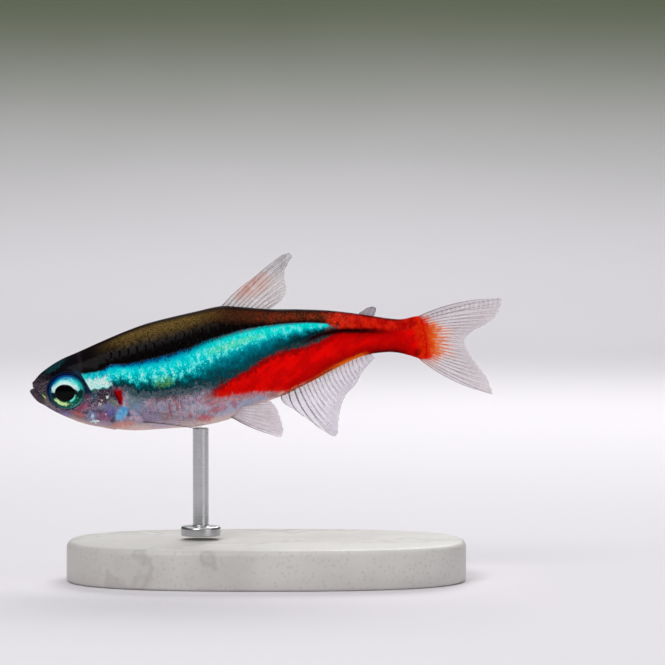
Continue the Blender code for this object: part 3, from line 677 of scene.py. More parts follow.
def fin_piece(node, fin, side, looks):
    """Membrane and rays of one fin, as one piece with two materials."""
    points, faces, fields = web_part(fin, side, len(node))
    sheet = len(faces)
    if not fin.get("fleshy"):
        rays = rays_part(fin, side)
        faces = np.vstack((faces, rays[1] + len(points)))
        points = np.vstack((points, rays[0]))
        fields = {key: np.concatenate((fields[key], rays[2][key])) for key in fields}
    fields["place"] = points
    piece = new_piece(node + "_web", to_world(points), faces, looks, fields)
    index = np.zeros(len(faces), dtype=np.int32)
    index[sheet:] = 1
    piece.data.polygons.foreach_set("material_index", index)
    return settle(piece, "fin", node)


# Turned pieces: the eyes and the rod.

def lathe(base, axis, profile, segments, turn=None):
    """Closed turned shape of (radius, height) points from end to end along an axis."""
    axis = unit(np.asarray(axis, dtype=float))
    first = unit(np.cross(axis, turn if turn is not None else (0.0, 0.0, 1.0)))
    second = np.cross(axis, first)
    radii, levels = np.array([p for p in profile if p[0] > 0]).T
    angle = full_turn(segments)
    ring = first * np.cos(angle)[:, None] + second * np.sin(angle)[:, None]
    points = base + levels[:, None, None] * axis + radii[:, None, None] * ring[None]
    ends = [base + axis * profile[0][1], base + axis * profile[-1][1]]
    faces = grid_faces(len(radii), segments, closed=True)[:, ::-1].tolist()
    count = len(radii) * segments
    for k in range(segments):
        after = (k + 1) % segments
        faces.append((count, after, k))
        faces.append((count + 1, count - segments + k, count - segments + after))
    return np.vstack((points.reshape(-1, 3), ends)), faces


def eye_piece(node, side, material):
    """Smooth eyeball with its dome, and the places that its painted iris is told from."""
    profile = [*EYE_BACK, (EYE_RADIUS, EYE_SIDE)]
    for angle in quarter_turn(EYE_RINGS)[1:-1]:
        radius = EYE_RADIUS * math.cos(angle)
        bulge = CORNEA_RISE * max(0.0, 1 - (radius / CORNEA_RADIUS) ** 2)
        profile.append((radius, EYE_SIDE + EYE_DOME * math.sin(angle) + bulge))
    profile.append((0.0, EYE_SIDE + EYE_DOME + CORNEA_RISE))
    base, axis = eye_axis(side)
    points, faces = lathe(base, axis, profile, EYE_SEGMENTS)
    level = ((points - base) @ axis)[:, None] * axis
    sideways = points - base - level
    world = to_world(base + level + sideways * (EYE_LONG, EYE_LONG, EYE_TALL))
    low, high = (np.array(corner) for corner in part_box(node))
    iris = (world - (low + high) / 2) / MM
    piece = new_piece(node + "_ball", world, faces, [material], {"iris": iris})
    return settle(piece, "eye", node)


def rod_piece(material):
    """Steel rod with a turned collar, from the base up to the belly."""
    low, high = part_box("stand_rod")
    axis_x = (low.x + high.x) / 2 / MM
    top = high.z / MM
    shoulder = ROD_FOOT + COLLAR_HEIGHT
    profile = [(0.0, ROD_FOOT), (COLLAR_RADIUS - COLLAR_EDGE, ROD_FOOT),
               (COLLAR_RADIUS, ROD_FOOT + COLLAR_EDGE), (COLLAR_RADIUS, shoulder - COLLAR_BEVEL)]
    for angle in quarter_turn(7)[1:]:
        profile.append((COLLAR_RADIUS - COLLAR_BEVEL * (1 - math.cos(angle)),
                        shoulder - COLLAR_BEVEL * (1 - math.sin(angle))))
    for angle in quarter_turn(6):
        profile.append((ROD_RADIUS + COLLAR_FILLET * (1 - math.sin(angle)),
                        shoulder + COLLAR_FILLET * (1 - math.cos(angle))))
    profile += [(ROD_RADIUS, shoulder + 2.0), (ROD_RADIUS, top - ROD_EDGE),
                (ROD_RADIUS - ROD_EDGE, top), (0.0, top)]
    base = np.array((axis_x, 0.0, 0.0))
    points, faces = lathe(base, (0, 0, 1), profile, ROD_SEGMENTS, turn=(0, 1, 0))
    piece = new_piece("steel_rod", points * MM, faces, [material])
    piece.data.set_sharp_from_angle(angle=ROD_SHARP)
    return settle(piece, "rod", "stand_rod")


def base_piece(material):
    """Flat stone base with a rounded outline and softened edges."""
    rings = [(0.0, BASE_BEVEL / 2), (0.08, 0.06), (BASE_BEVEL / 2, 0.0), (1.2, 0.0),
             (BASE_HEIGHT - BASE_BEVEL, 0.0)]
    for angle in quarter_turn(9)[1:]:
        rings.append((BASE_HEIGHT - BASE_BEVEL * (1 - math.sin(angle)),
                      BASE_BEVEL * (1 - math.cos(angle))))
    rings += [(BASE_HEIGHT, inset) for inset in BASE_TOP_INSETS]
    count = BASE_SEGMENTS
    angle = full_turn(count)
    cos, sin = np.cos(angle), np.sin(angle)
    shape_x, shape_y = swell(cos, BASE_ROUNDING), swell(sin, BASE_ROUNDING)
    points = [np.stack((shape_x * (BASE_HALF_LENGTH - inset), shape_y * (BASE_HALF_WIDTH - inset),
                        np.full(count, height)), axis=-1) for height, inset in rings]
    faces = grid_faces(len(rings), count, closed=True)[:, ::-1].tolist()
    faces.append(list(range(count))[::-1])
    faces.append(list(range((len(rings) - 1) * count, len(rings) * count)))
    piece = new_piece("stone_base", np.vstack(points) * MM, faces, [material])
    piece.data.set_sharp_from_angle(angle=BASE_SHARP)
    return settle(piece, "base", "stand_base")


# Materials.

class Value:
    """What a node gives out, with signs for sums and products of such values."""

    def __init__(self, graph, socket):
        self.graph = graph
        self.socket = socket

    def __add__(self, other):
        return self.graph.math("ADD", self, other)

    def __sub__(self, other):
        return self.graph.math("SUBTRACT", self, other)

    def __rsub__(self, other):
        return self.graph.math("SUBTRACT", other, self)

    def __mul__(self, other):
        return self.graph.math("MULTIPLY", self, other)

    def __truediv__(self, number):
        return self * (1 / number)

    def __neg__(self):
        return self * -1.0

    def __abs__(self):
        return self.graph.math("ABSOLUTE", self)

    def fade(self, start, end, low=0.0, high=1.0):
        """Smooth change from low at start to high at end."""
        return self.graph.put("ShaderNodeMapRange", {0: self, 1: start, 2: end, 3: low, 4: high},
                              interpolation_type="SMOOTHSTEP")

    def band(self, low, high, soft):
        """1 between low and high."""
        return self.fade(low - soft, low + soft) * self.fade(high + soft, high - soft)


class Graph:
    """Shader nodes of one material, made by short calls. Colours are given as displayed."""

    def __init__(self, name):
        self.material = bpy.data.materials.new(name)
        self.material.use_nodes = True
        self.tree = self.material.node_tree
        self.shader = self.tree.nodes["Principled BSDF"]

    def feed(self, socket, value):
        """Link a node's value to a socket, or set a number, vector or display colour on it."""
        if isinstance(value, Value):
            self.tree.links.new(value.socket, socket)
        elif socket.type == "RGBA":
            socket.default_value = srgb(*value)
        else:
            socket.default_value = value

    def node(self, kind, inputs, **settings):
        node = self.tree.nodes.new(kind)
        for key, value in settings.items():
            setattr(node, key, value)
        for key, value in inputs.items():
            self.feed(node.inputs[key], value)
        return node

    def put(self, kind, inputs, output=0, **settings):
        """One of the outputs of a new node."""
        return Value(self, self.node(kind, inputs, **settings).outputs[output])

    def finish(self, **inputs):
        for key, value in inputs.items():
            self.feed(self.shader.inputs[key.replace("_", " ")], value)
        return self.material

    def field(self, name):
        return self.put("ShaderNodeAttribute", {}, "Fac", attribute_name=name)

    def vector(self, name):
        return self.put("ShaderNodeAttribute", {}, "Vector", attribute_name=name)

    def object_place(self):
        return self.put("ShaderNodeTexCoord", {}, "Object")

    def split(self, vector):
        parts = self.node("ShaderNodeSeparateXYZ", {0: vector}).outputs
        return [Value(self, part) for part in parts]

    def math(self, operation, a, b=0.0):
        return self.put("ShaderNodeMath", {0: a, 1: b}, operation=operation)

    def larger(self, a, b):
        return self.math("MAXIMUM", a, b)

    def length(self, a, b):
        return self.math("SQRT", a * a + b * b)

    def vector_math(self, operation, a, b, output=0):
        return self.put("ShaderNodeVectorMath", {0: a, 1: b}, output, operation=operation)

    def stretch(self, vector, factors):
        return self.vector_math("MULTIPLY", vector, factors)

    def noise(self, vector, scale, detail=2.0, roughness=0.5, output=0):
        inputs = {"Vector": vector, "Scale": scale, "Detail": detail, "Roughness": roughness}
        return self.put("ShaderNodeTexNoise", inputs, output)

    def cells(self, vector, scale):
        """Distance to the nearest of many scattered points."""
        return self.put("ShaderNodeTexVoronoi", {"Vector": vector, "Scale": scale})

    def ragged(self, vector, scale, amount):
        """The vector, pushed about by noise."""
        noise = self.noise(vector, scale, 4.0, 0.6, output=1)
        parts = self.node("ShaderNodeSeparateColor", {0: noise}).outputs
        inputs = {i: Value(self, parts[i]) - 0.5 for i in range(3)}
        pushed = self.put("ShaderNodeCombineXYZ", inputs)
        return self.vector_math("ADD", vector, self.stretch(pushed, (amount, amount, amount)))

    def dot(self, vector, axis):
        return self.vector_math("DOT_PRODUCT", vector, axis, "Value")

    def spot(self, vector, centre, radii, angle=0.0, soft=0.3):
        """Mask of a side-view oval patch, whose first radius is turned up by the angle."""
        away = self.vector_math("SUBTRACT", vector, (centre[0], 0.0, centre[1]))
        cos, sin = math.cos(math.radians(angle)), math.sin(math.radians(angle))
        along = self.dot(away, (cos / radii[0], 0.0, sin / radii[0]))
        over = self.dot(away, (-sin / radii[1], 0.0, cos / radii[1]))
        square = along * along + over * over
        return square.fade((1 + soft) ** 2, (1 - soft) ** 2)

    def mix(self, factor, a, b):
        return self.put("ShaderNodeMix", {0: factor, 6: a, 7: b}, 2, data_type="RGBA")

    def ramp(self, value, stops):
        node = self.node("ShaderNodeValToRGB", {0: value})
        elements = node.color_ramp.elements
        while len(elements) < len(stops):
            elements.new(0.5)
        for element, (position, colour) in zip(elements, stops):
            element.position = position
            element.color = srgb(*colour)
        return Value(self, node.outputs[0])

    def bump(self, height, strength, distance):
        return self.put("ShaderNodeBump", {"Strength": strength, "Distance": distance * MM,
                                           "Height": height})


class SkinFields:
    """What the skin's nodes read: places, distances to the markings and noises."""

    def __init__(self, g):
        self.place = g.vector("place")
        self.s, _, self.h = g.split(self.place)
        self.stripe, self.under, self.above = g.field("stripe"), g.field("under"), g.field("above")
        self.red_high, self.red_low = g.field("red_high"), g.field("red_low")
        self.tail_line = g.field("tail_line")
        self.crest, self.keel = g.field("crest"), g.field("keel")
        self.coarse = g.noise(self.place, 0.9, 2)
        self.medium = g.noise(self.place, 3.0, 3)
        self.fine = g.noise(self.place, 9.0, 3, 0.6)
        self.grit = g.noise(self.place, 16.0, 2, 0.6)
        self.streaks = g.noise(g.stretch(self.place, (4.6, 1.0, 2.0)), 1.0, 4, 0.65)
        self.ribs = g.noise(g.stretch(self.place, (4.0, 0.6, 0.7)), 1.0, 2, 0.5)
        self.cells = g.cells(self.place, 5.0)
        self.blots = g.noise(g.stretch(self.place, (2.3, 1.0, 1.7)), 1.0, 5, 0.68)
        self.rough_place = g.ragged(self.place, 4.5, 0.60)
        self.broken = self.fine.fade(0.38, 0.6, 0.3, 1.0)


def stripe_front(f):
    """How much farther back the stripe's slanted front end lies at each height."""
    return (STRIPE_FRONT_LEVEL - f.h) * STRIPE_FRONT_LEAN


# Soft patches on the flank: centre, radii, angle, amount and colour.
FLANK_PATCHES = [
    ((7.63, -1.68), (0.55, 0.75), 0, 0.9, (96, 138, 146)),
    ((7.93, -2.32), (0.50, 0.40), 0, 0.7, (132, 158, 196)),
    ((8.70, -3.00), (0.80, 0.45), 0, 0.7, (166, 148, 206)),
    ((9.30, -2.30), (0.60, 0.50), 0, 0.5, (160, 178, 206)),
    ((9.75, -1.66), (0.55, 0.30), 10, 0.8, (150, 50, 62)),
    ((9.61, -3.83), (1.10, 0.22), 0, 0.6, (180, 172, 216)),
    ((12.65, -3.71), (0.60, 0.22), 0, 0.9, (216, 86, 96)),
    ((13.50, -3.20), (0.45, 0.20), 0, 0.8, (210, 96, 106)),
    ((13.10, -2.62), (0.50, 0.22), 0, 0.8, (196, 92, 100)),
    ((12.20, -2.90), (0.90, 0.40), 0, 0.6, (196, 206, 226)),
    ((14.30, -3.50), (0.70, 0.26), 8, 0.5, (190, 208, 236)),
    ((15.40, -3.14), (0.90, 0.28), 10, 0.6, (180, 204, 236)),
    ((16.60, -2.88), (0.90, 0.24), 8, 0.7, (170, 198, 234)),
    ((17.40, -2.74), (0.50, 0.18), 8, 0.8, (140, 182, 228)),
    ((15.00, -2.95), (0.16, 0.36), 0, 0.8, (206, 92, 120)),
    ((14.10, -3.05), (0.22, 0.26), 0, 0.7, (210, 130, 160)),
    ((17.98, -2.66), (0.27, 0.20), 8, 1.0, (52, 48, 92)),
]


def flank_colour(g, f):
    """Silvery grey-pink flank with violet and blue sheen, red ribs and a pale belly."""
    colour = g.mix(f.medium.fade(0.42, 0.58), (162, 158, 184), (208, 182, 198))
    colour = g.mix(f.fine.fade(0.47, 0.38) * 0.6, colour, (104, 96, 120))
    colour = g.mix(f.cells.fade(0.16, 0.08) * 0.5, colour, (236, 228, 240))
    ribs = (g.spot(f.rough_place, (10.7, -2.6), (2.1, 1.0), -8, 0.45) * f.ribs.fade(0.5, 0.57)
            * f.broken)
    rib_tint = g.mix(f.fine.fade(0.42, 0.58), (136, 40, 48), (214, 96, 92))
    colour = g.mix(ribs * 0.9, colour, rib_tint)
    # Pale belly: its own light colour, lightened further along the lower edge as painted light from
    # below.
    belly = (f.keel + (f.medium - 0.5) * 0.7).fade(0.85, 0.15) * f.s.fade(25.0, 20.0)
    colour = g.mix(belly * 0.9, colour, (242, 214, 208))
    for centre, radii, angle, amount, patch in FLANK_PATCHES:
        mask = g.spot(f.rough_place, centre, radii, angle, 0.4)
        colour = g.mix(mask * amount * f.broken, colour, patch)
    under = f.under + (f.blots - 0.5) * 1.1
    zone = under.fade(0.95, 0.3) * f.s.fade(5.6, 7.0) * f.s.fade(17.0, 13.5)
    dots = g.mix(f.grit.fade(0.45, 0.56), (66, 108, 114), (20, 34, 40))
    colour = g.mix(zone * 0.9, colour, dots)
    specks = f.grit.fade(0.54, 0.62) * f.under.fade(2.0, 0.6) * f.s.fade(6.0, 7.5)
    colour = g.mix(specks * 0.8, colour, (44, 54, 64))
    shadow = f.s.fade(12.4, 14.2) * f.red_high.fade(-0.75, -0.45) * f.under.fade(-0.75, -0.45)
    dark = g.mix(f.grit.fade(0.42, 0.56), (40, 96, 98), (16, 30, 38))
    reddish = f.fine.fade(0.52, 0.62) * f.red_high.fade(0.7, 0.1)
    return g.mix(shadow, colour, g.mix(reddish, dark, (84, 18, 24)))


def red_colour(g, f):
    """Scarlet with deeper clouds, a dark top and a brighter middle."""
    turned = g.put("ShaderNodeVectorRotate", {"Vector": f.place, "Angle": math.radians(35)},
                   rotation_type="Y_AXIS")
    slanted = g.noise(g.stretch(turned, (0.5, 1.0, 1.3)), 1.0, 2)
    colour = g.mix(slanted.fade(0.42, 0.6), (226, 0, 0), (255, 3, 0))
    colour = g.mix(f.coarse.fade(0.55, 0.7) * 0.7, colour, (250, 8, 0))
    keel = f.keel.fade(1.2, 0.35) * f.s.fade(17.0, 20.5) * 0.6
    colour = g.mix(keel, colour, (158, 0, 0))
    below_line = ((-f.tail_line).fade(1.1, 0.15) * f.s.fade(21.0, 23.0) * f.s.fade(28.4, 26.4)
                  * 0.55)
    colour = g.mix(below_line, colour, (132, 0, 2))
    ragged = f.red_high + (f.medium - 0.5) * 1.3
    near_top = (-ragged).fade(0.65, 0.05) * f.s.fade(24.0, 20.0)
    return g.mix(near_top * 0.7, colour, (104, 2, 6))


def add_red(g, f, colour):
    """The red band below the stripe, which takes in the whole tail stalk."""
    wander = (f.blots - 0.5) * 0.9 + (f.fine - 0.5) * 0.9
    top = (f.red_high + wander).fade(0.1, -0.12)
    below = f.red_low + wander
    bottom = below.fade(-0.16, 0.1)
    start = (f.s + (f.fine - 0.5) * 3.6).fade(12.6, 13.9)
    fringe = below.band(-0.34, 0.1, 0.12) * f.fine.fade(0.46, 0.56) * start * top
    colour = g.mix(fringe * 0.85, colour, (226, 126, 92))
    red = g.mix(below.fade(0.45, 0.0) * f.fine.fade(0.48, 0.58) * 0.7, red_colour(g, f),
                (246, 62, 14))
    return g.mix(top * bottom * start, colour, red)


def add_back(g, f, colour):
    """Black above the stripe, with a speckled olive-gold band under the dark crest."""
    dark = g.mix(f.fine.fade(0.42, 0.68), (3, 2, 4), (22, 15, 14))
    gold = g.mix(f.fine.fade(0.36, 0.64), (58, 44, 22), (112, 86, 42))
    gold = g.mix(f.grit.fade(0.5, 0.66) * 0.7, gold, (156, 128, 70))
    brown = g.mix(f.fine.fade(0.36, 0.62), (40, 20, 10), (84, 44, 22))
    reddish = g.mix(f.blots.fade(0.42, 0.6), (62, 24, 12), (132, 36, 16))
    reddish = g.mix(f.grit.fade(0.55, 0.64) * 0.8, reddish, (176, 92, 48))
    warm = g.mix(f.s.fade(12.0, 16.0), gold, brown)
    warm = g.mix(f.s.fade(15.5, 20.0), warm, reddish)
    wander = f.above + (f.medium - 0.5) * 0.34
    reach = f.s.fade(13.0, 19.0, 0.6, 0.2)
    lower = (wander - reach).fade(-0.2, 0.22)
    amount = lower * f.s.fade(4.6, 8.2) * f.crest.fade(0.02, 0.4, 0.08, 1.0)
    back = g.mix(amount, dark, warm)
    edge = (f.above + (f.streaks - 0.5) * 0.1).fade(-0.07, 0.04)
    return g.mix(edge * f.s.fade(3.0, 4.2), colour, back)


# Dark ovals at the tail stalk's end: centre, radii and amount.
STALK_OVALS = [((29.44, 0.92), (0.11, 0.42), 0.8), ((29.14, -1.06), (0.22, 0.26), 0.85)]


def add_stalk(g, f, colour):
    """Red over the rear of the back, with the dark line along it."""
    rear = f.s + (f.blots - 0.5) * 5.0
    bright = g.mix(f.blots.fade(0.4, 0.6), (190, 6, 2), (230, 34, 14))
    gleams = f.grit.fade(0.56, 0.66) * f.s.fade(26.0, 23.0)
    bright = g.mix(gleams, bright, (226, 106, 60))
    stalk = g.mix(f.tail_line.fade(0.02, 0.22), red_colour(g, f), bright)
    colour = g.mix(rear.fade(22.3, 24.0), colour, stalk)
    wander = f.tail_line + (f.medium - 0.5) * 0.16
    line = abs(wander).fade(0.34, 0.04) * f.s.fade(20.0, 21.5) * f.s.fade(28.4, 25.0)
    colour = g.mix(line, colour, (34, 2, 4))
    for centre, radii, amount in STALK_OVALS:
        oval = g.spot(f.place, centre, radii, 0, 0.6)
        colour = g.mix(oval * amount, colour, (138, 0, 0))
    root = g.mix(f.fine.fade(0.4, 0.6), (228, 14, 0), (255, 54, 6))
    return g.mix((f.s + (f.blots - 0.5) * 1.2).fade(28.9, 29.5), colour, root)


def add_edges(g, f, colour):
    """Thin dark crest on the back, and the speckled line above the anal fin."""
    before_tail = f.s.fade(28.8, 27.6)
    crest = f.crest.fade(0.24, 0.05) * f.s.fade(3.0, 6.0) * before_tail
    colour = g.mix(crest * 0.75, colour, (20, 6, 8))
    under = f.keel.fade(0.46, 0.05) * f.s.fade(24.8, 26.2) * before_tail
    colour = g.mix(under * 0.85, colour, (66, 0, 2))
    base = f.s.band(18.7, 25.2, 0.4) * (f.keel + (f.fine - 0.5) * 0.5).fade(0.34, 0.1)
    orange = g.mix(f.s.fade(20.5, 23.5), (240, 60, 14), (255, 120, 22))
    colour = g.mix(base, colour, orange)
    pale = f.s.band(18.2, 20.6, 0.4) * f.keel.fade(0.4, 0.16) * f.fine.fade(0.5, 0.58)
    colour = g.mix(pale * 0.8, colour, (236, 176, 140))
    specks = f.s.band(18.4, 23.0, 0.5) * f.fine.fade(0.54, 0.46) * f.keel.fade(0.26, 0.08)
    return g.mix(specks, colour, (30, 14, 22))


# Colours across the stripe from its lower edge up, in its front part and in its rear part.
TEAL_STOPS = [(0.0, (6, 34, 38)), (0.12, (0, 68, 74)), (0.26, (0, 122, 128)),
              (0.42, (0, 196, 204)), (0.62, (0, 228, 234)), (0.80, (0, 206, 230)),
              (0.93, (0, 96, 156)), (1.0, (0, 16, 40))]
REAR_STOPS = [(0.0, (6, 60, 70)), (0.20, (0, 98, 112)), (0.38, (0, 136, 152)),
              (0.52, (0, 186, 196)), (0.64, (0, 232, 226)), (0.88, (0, 238, 228)),
              (0.95, (0, 120, 140)), (1.0, (0, 20, 34))]


def add_stripe(g, f, colour):
    """The blue-green stripe: teal below, blue above, broken by painted glints of single scales."""
    push = (f.blots - 0.5) * f.stripe.fade(0.1, 0.8, 1.0, 0.3) + (f.fine - 0.5) * 0.3
    w = f.stripe + push
    body = g.mix(f.s.fade(10.5, 15.5), g.ramp(w, TEAL_STOPS), g.ramp(w, REAR_STOPS))
    dark_low = w.fade(0.5, 0.18) * f.s.fade(18.0, 20.5)
    body = g.mix(dark_low, body, (6, 40, 44))
    body = g.mix(f.grit.fade(0.48, 0.38) * 0.35, body, (0, 76, 96))
    # Painted glints: cyan and white patches stand for light reflected by single scales.
    sparkle = f.blots * 0.62 + f.fine * 0.38
    middle = f.s.fade(10.0, 16.0, 0.58, 0.76)
    off = abs(w - middle)
    near_middle = off.fade(f.s.fade(10.0, 16.0, 0.38, 0.3), 0.08)
    painted_cyan_glints = sparkle.fade(0.465, 0.505) * near_middle
    body = g.mix(painted_cyan_glints * 0.9, body, (24, 250, 244))
    bright = sparkle.fade(0.52, 0.57) * off.fade(0.26, 0.05) * f.s.fade(20.0, 12.0, 0.45, 0.95)
    body = g.mix(bright, body, (180, 255, 252))
    # Yellow-green patches here and below: the stripe's own iridescent colour, speckled as painted
    # glints.
    yellow = f.s.band(13.6, 17.6, 0.7) * f.stripe.band(0.62, 0.78, 0.06) * f.grit.fade(0.47, 0.54)
    body = g.mix(yellow * 0.5, body, (150, 240, 70))
    green = g.spot(f.rough_place, (10.0, -0.55), (0.75, 0.38), 0, 0.4) * f.grit.fade(0.49, 0.56)
    body = g.mix(green * 0.6, body, (140, 236, 100))
    front = f.s - stripe_front(f)
    inside = (w.fade(-0.07, 0.05) * (f.stripe + push * 0.4).fade(1.06, 0.95)
              * front.fade(3.93, 4.03) * (f.s + (f.blots - 0.5) * 4.0).fade(23.0, 22.3))
    return g.mix(inside, colour, body)


# Patches on the head: centre, radii, angle, edge softness, amount and colour.
HEAD_PATCHES = [
    ((4.13, -0.76), (0.22, 0.34), 0, 0.5, 0.9, (86, 16, 44)),
    ((4.75, -0.80), (0.27, 0.55), 0, 0.4, 1.0, (8, 82, 98)),
    ((4.70, -0.42), (0.42, 0.16), 0, 0.4, 1.0, (14, 104, 56)),
    ((5.55, -0.80), (0.62, 0.42), 0, 0.5, 1.0, (34, 28, 34)),
    ((5.20, -1.30), (0.40, 0.26), 0, 0.5, 0.9, (70, 54, 52)),
    ((5.30, -1.85), (0.55, 0.24), 0, 0.5, 0.8, (132, 142, 168)),
    ((3.70, -1.72), (0.50, 0.18), 24, 0.6, 0.8, (176, 66, 98)),
    ((5.09, -2.62), (0.50, 0.34), 0, 0.6, 0.7, (172, 84, 134)),
    ((5.80, -2.20), (0.36, 0.40), 0, 0.6, 0.8, (106, 112, 190)),
    ((3.44, -2.22), (0.62, 0.17), -24, 0.6, 0.8, (208, 118, 102)),
    ((6.60, -3.36), (0.70, 0.20), 0, 0.7, 0.8, (230, 136, 106)),
    ((6.02, -1.62), (0.16, 0.36), 0, 0.4, 0.9, (104, 146, 104)),
    ((4.25, -2.45), (0.40, 0.32), 0, 0.6, 0.9, (150, 166, 206)),
    ((2.40, -2.04), (0.42, 0.14), -20, 0.6, 0.7, (134, 122, 190)),
    ((4.90, -3.05), (0.80, 0.20), -10, 0.5, 0.8, (186, 168, 192)),
]

# Painted glints, small bright specks of reflected light: centre, radii and colour.
PAINTED_HEAD_GLINTS = [
    ((4.40, -2.86), (0.34, 0.08), (228, 252, 248)),
    ((4.30, -2.45), (0.07, 0.20), (206, 224, 240)),
    ((5.66, -1.12), (0.09, 0.11), (226, 240, 236)),
    ((5.18, -1.34), (0.07, 0.07), (210, 196, 196)),
    ((4.98, -1.58), (0.10, 0.07), (226, 206, 208)),
    ((6.48, -3.50), (0.07, 0.07), (250, 220, 210)),
    ((5.35, -2.42), (0.07, 0.09), (206, 190, 222)),
]

# Marks at the mouth, the second being a painted highlight: centre, radii, angle and colour.
MOUTH_MARKS_AND_HIGHLIGHT = [
    ((0.84, -0.36), (0.14, 0.20), -35, (48, 84, 44)),
    ((0.90, -0.51), (0.17, 0.06), -58, (214, 250, 160)),
    ((1.02, -0.86), (0.20, 0.15), 0, (120, 116, 74)),
    ((1.20, -1.30), (0.40, 0.20), -40, (128, 116, 118)),
]


def add_head(g, f, colour):
    """Dark speckled snout and cap, grey cheeks with coloured patches, and the gill's red."""
    on_head = f.s - f.h * 0.25
    cheek = g.mix(f.medium.fade(0.35, 0.62), (88, 76, 96), (146, 126, 148))
    cheek = g.mix(f.fine.fade(0.5, 0.62), cheek, (44, 36, 54))
    cheek = g.mix(f.cells.fade(0.22, 0.12) * 0.7, cheek, (206, 206, 222))
    colour = g.mix(on_head.fade(7.4, 6.4), colour, cheek)
    # Pale throat: its own light colour, lightened further along the lower edge as painted light from
    # below.
    throat = f.keel.fade(0.62, 0.1) * f.s.fade(1.6, 3.2) * f.s.fade(8.0, 6.5)
    colour = g.mix(throat * 0.8, colour, (222, 190, 184))
    for centre, radii, angle, soft, amount, patch in HEAD_PATCHES:
        mask = g.spot(f.rough_place, centre, radii, angle, soft)
        colour = g.mix(mask * amount * f.broken, colour, patch)
    # Painted glints on the cheek and gill cover.
    for centre, radii, tint in PAINTED_HEAD_GLINTS:
        mask = g.spot(f.rough_place, centre, radii, 0, 0.3)
        colour = g.mix(mask, colour, tint)
    snout = g.mix(f.fine.fade(0.42, 0.58), (26, 18, 24), (78, 68, 78))
    snout = g.mix(f.grit.fade(0.54, 0.62) * 0.8, snout, (146, 126, 142))
    snout = g.mix((f.h + (f.medium - 0.5) * 0.8).fade(0.15, 1.25, 0.0, 0.85), snout, (16, 9, 13))
    front = (f.s - f.h * 0.7).fade(1.9, 1.2) * f.h.fade(-1.9, -0.9, 0.35, 1.0)
    colour = g.mix(front, colour, snout)
    # Mouth marks, and the painted highlight on the upper jaw.
    for centre, radii, angle, tint in MOUTH_MARKS_AND_HIGHLIGHT:
        mask = g.spot(f.rough_place, centre, radii, angle, 0.4)
        colour = g.mix(mask * f.broken, colour, tint)
    cap = g.mix(f.fine.fade(0.45, 0.7), (4, 3, 8), (26, 20, 28))
    cap_start = (f.s + (f.medium - 0.5) * 1.6).fade(0.9, 1.9)
    over = f.above.fade(-0.1, 0.03) * f.s.fade(4.4, 3.6) * cap_start
    colour = g.mix(over, colour, cap)
    sheen = g.spot(f.rough_place, (1.95, 1.58), (0.80, 0.20), 28, 0.6)
    colour = g.mix(sheen * f.broken * 0.7, colour, (14, 78, 80))
    away = eye_distance(g, f)
    ring = away.fade(1.56, 1.42) * f.h.fade(-1.2, 0.3)
    colour = g.mix(ring * 0.9, colour, (2, 34, 72))
    mark, shade = gill_mark(g, f)
    colour = g.mix(mark, colour, g.mix(shade, (74, 0, 8), (176, 0, 6)))
    fleck = g.spot(f.rough_place, (6.95, -2.50), (0.20, 0.34), 30, 0.5)
    colour = g.mix(fleck * 0.8, colour, (62, 58, 120))
    blue = g.spot(g.ragged(f.place, 3.0, 0.15), (6.55, -2.50), (0.62, 0.36), 44, 0.30)
    blue_tint = g.mix(f.medium.fade(0.36, 0.6), (92, 162, 220), (124, 192, 234))
    return g.mix(blue, colour, blue_tint)


def gill_mark(g, f):
    """Mask and brightness of the blood-red wedge at the gill cover's edge."""
    s, _, h = g.split(g.ragged(f.place, 4.0, 0.30))
    left_level, left_lean = GILL_MARK_LEFT
    right_level, right_lean = GILL_MARK_RIGHT
    behind_left = s + (h - left_level) * left_lean
    before_right = (h - right_level) * right_lean - s
    mask = (behind_left.fade(-0.1, 0.08) * before_right.fade(-0.08, 0.08)
            * h.band(-1.92, -0.66, 0.2))
    return mask, behind_left.fade(0.05, 0.32) * f.fine.fade(0.3, 0.55, 0.4, 1.0)


def eye_distance(g, f):
    """Side-view distance from the eye's middle, measured along its long outline."""
    seen_s = EYE_S - EYE_BASE_Y * math.tan(EYE_LEAN) * 2
    return g.length((f.s - seen_s) / EYE_LONG, (f.h - EYE_H) / EYE_TALL)


def add_cheek_patch(g, f, colour):
    """The stripe's bright first patch behind the eye, and the dark gap round it."""
    front = f.s - stripe_front(f)
    rim = front.band(3.45, 3.98, 0.08) * f.h.band(-0.75, 1.1, 0.15)
    colour = g.mix(rim * 0.95, colour, g.mix(f.fine.fade(0.4, 0.6), (2, 16, 34), (4, 48, 74)))
    lobes = g.math("SINE", f.s * 9.8 - 42.2)
    low = f.h + lobes * 0.06 + (f.blots - 0.5) * 0.35
    patch = front.fade(3.93, 4.02) * (f.s + (f.blots - 0.5) * 1.8).fade(6.15, 5.65)
    top = (f.h + (f.blots - 0.5) * 0.4).fade(0.9, 0.72)
    cyan = patch * low.fade(-0.54, -0.38) * top
    colour = g.mix(cyan * 0.9, colour, g.mix(f.medium.fade(0.4, 0.58), (0, 176, 204),
                                             (40, 226, 224)))
    high = f.h + (f.blots - 0.5) * 1.6 - lobes * 0.1
    white = patch * low.fade(-0.48, -0.36) * high.fade(0.5, 0.22)
    tint = g.mix(f.fine.fade(0.4, 0.58), (150, 248, 240), (250, 255, 252))
    return g.mix(white, colour, tint)


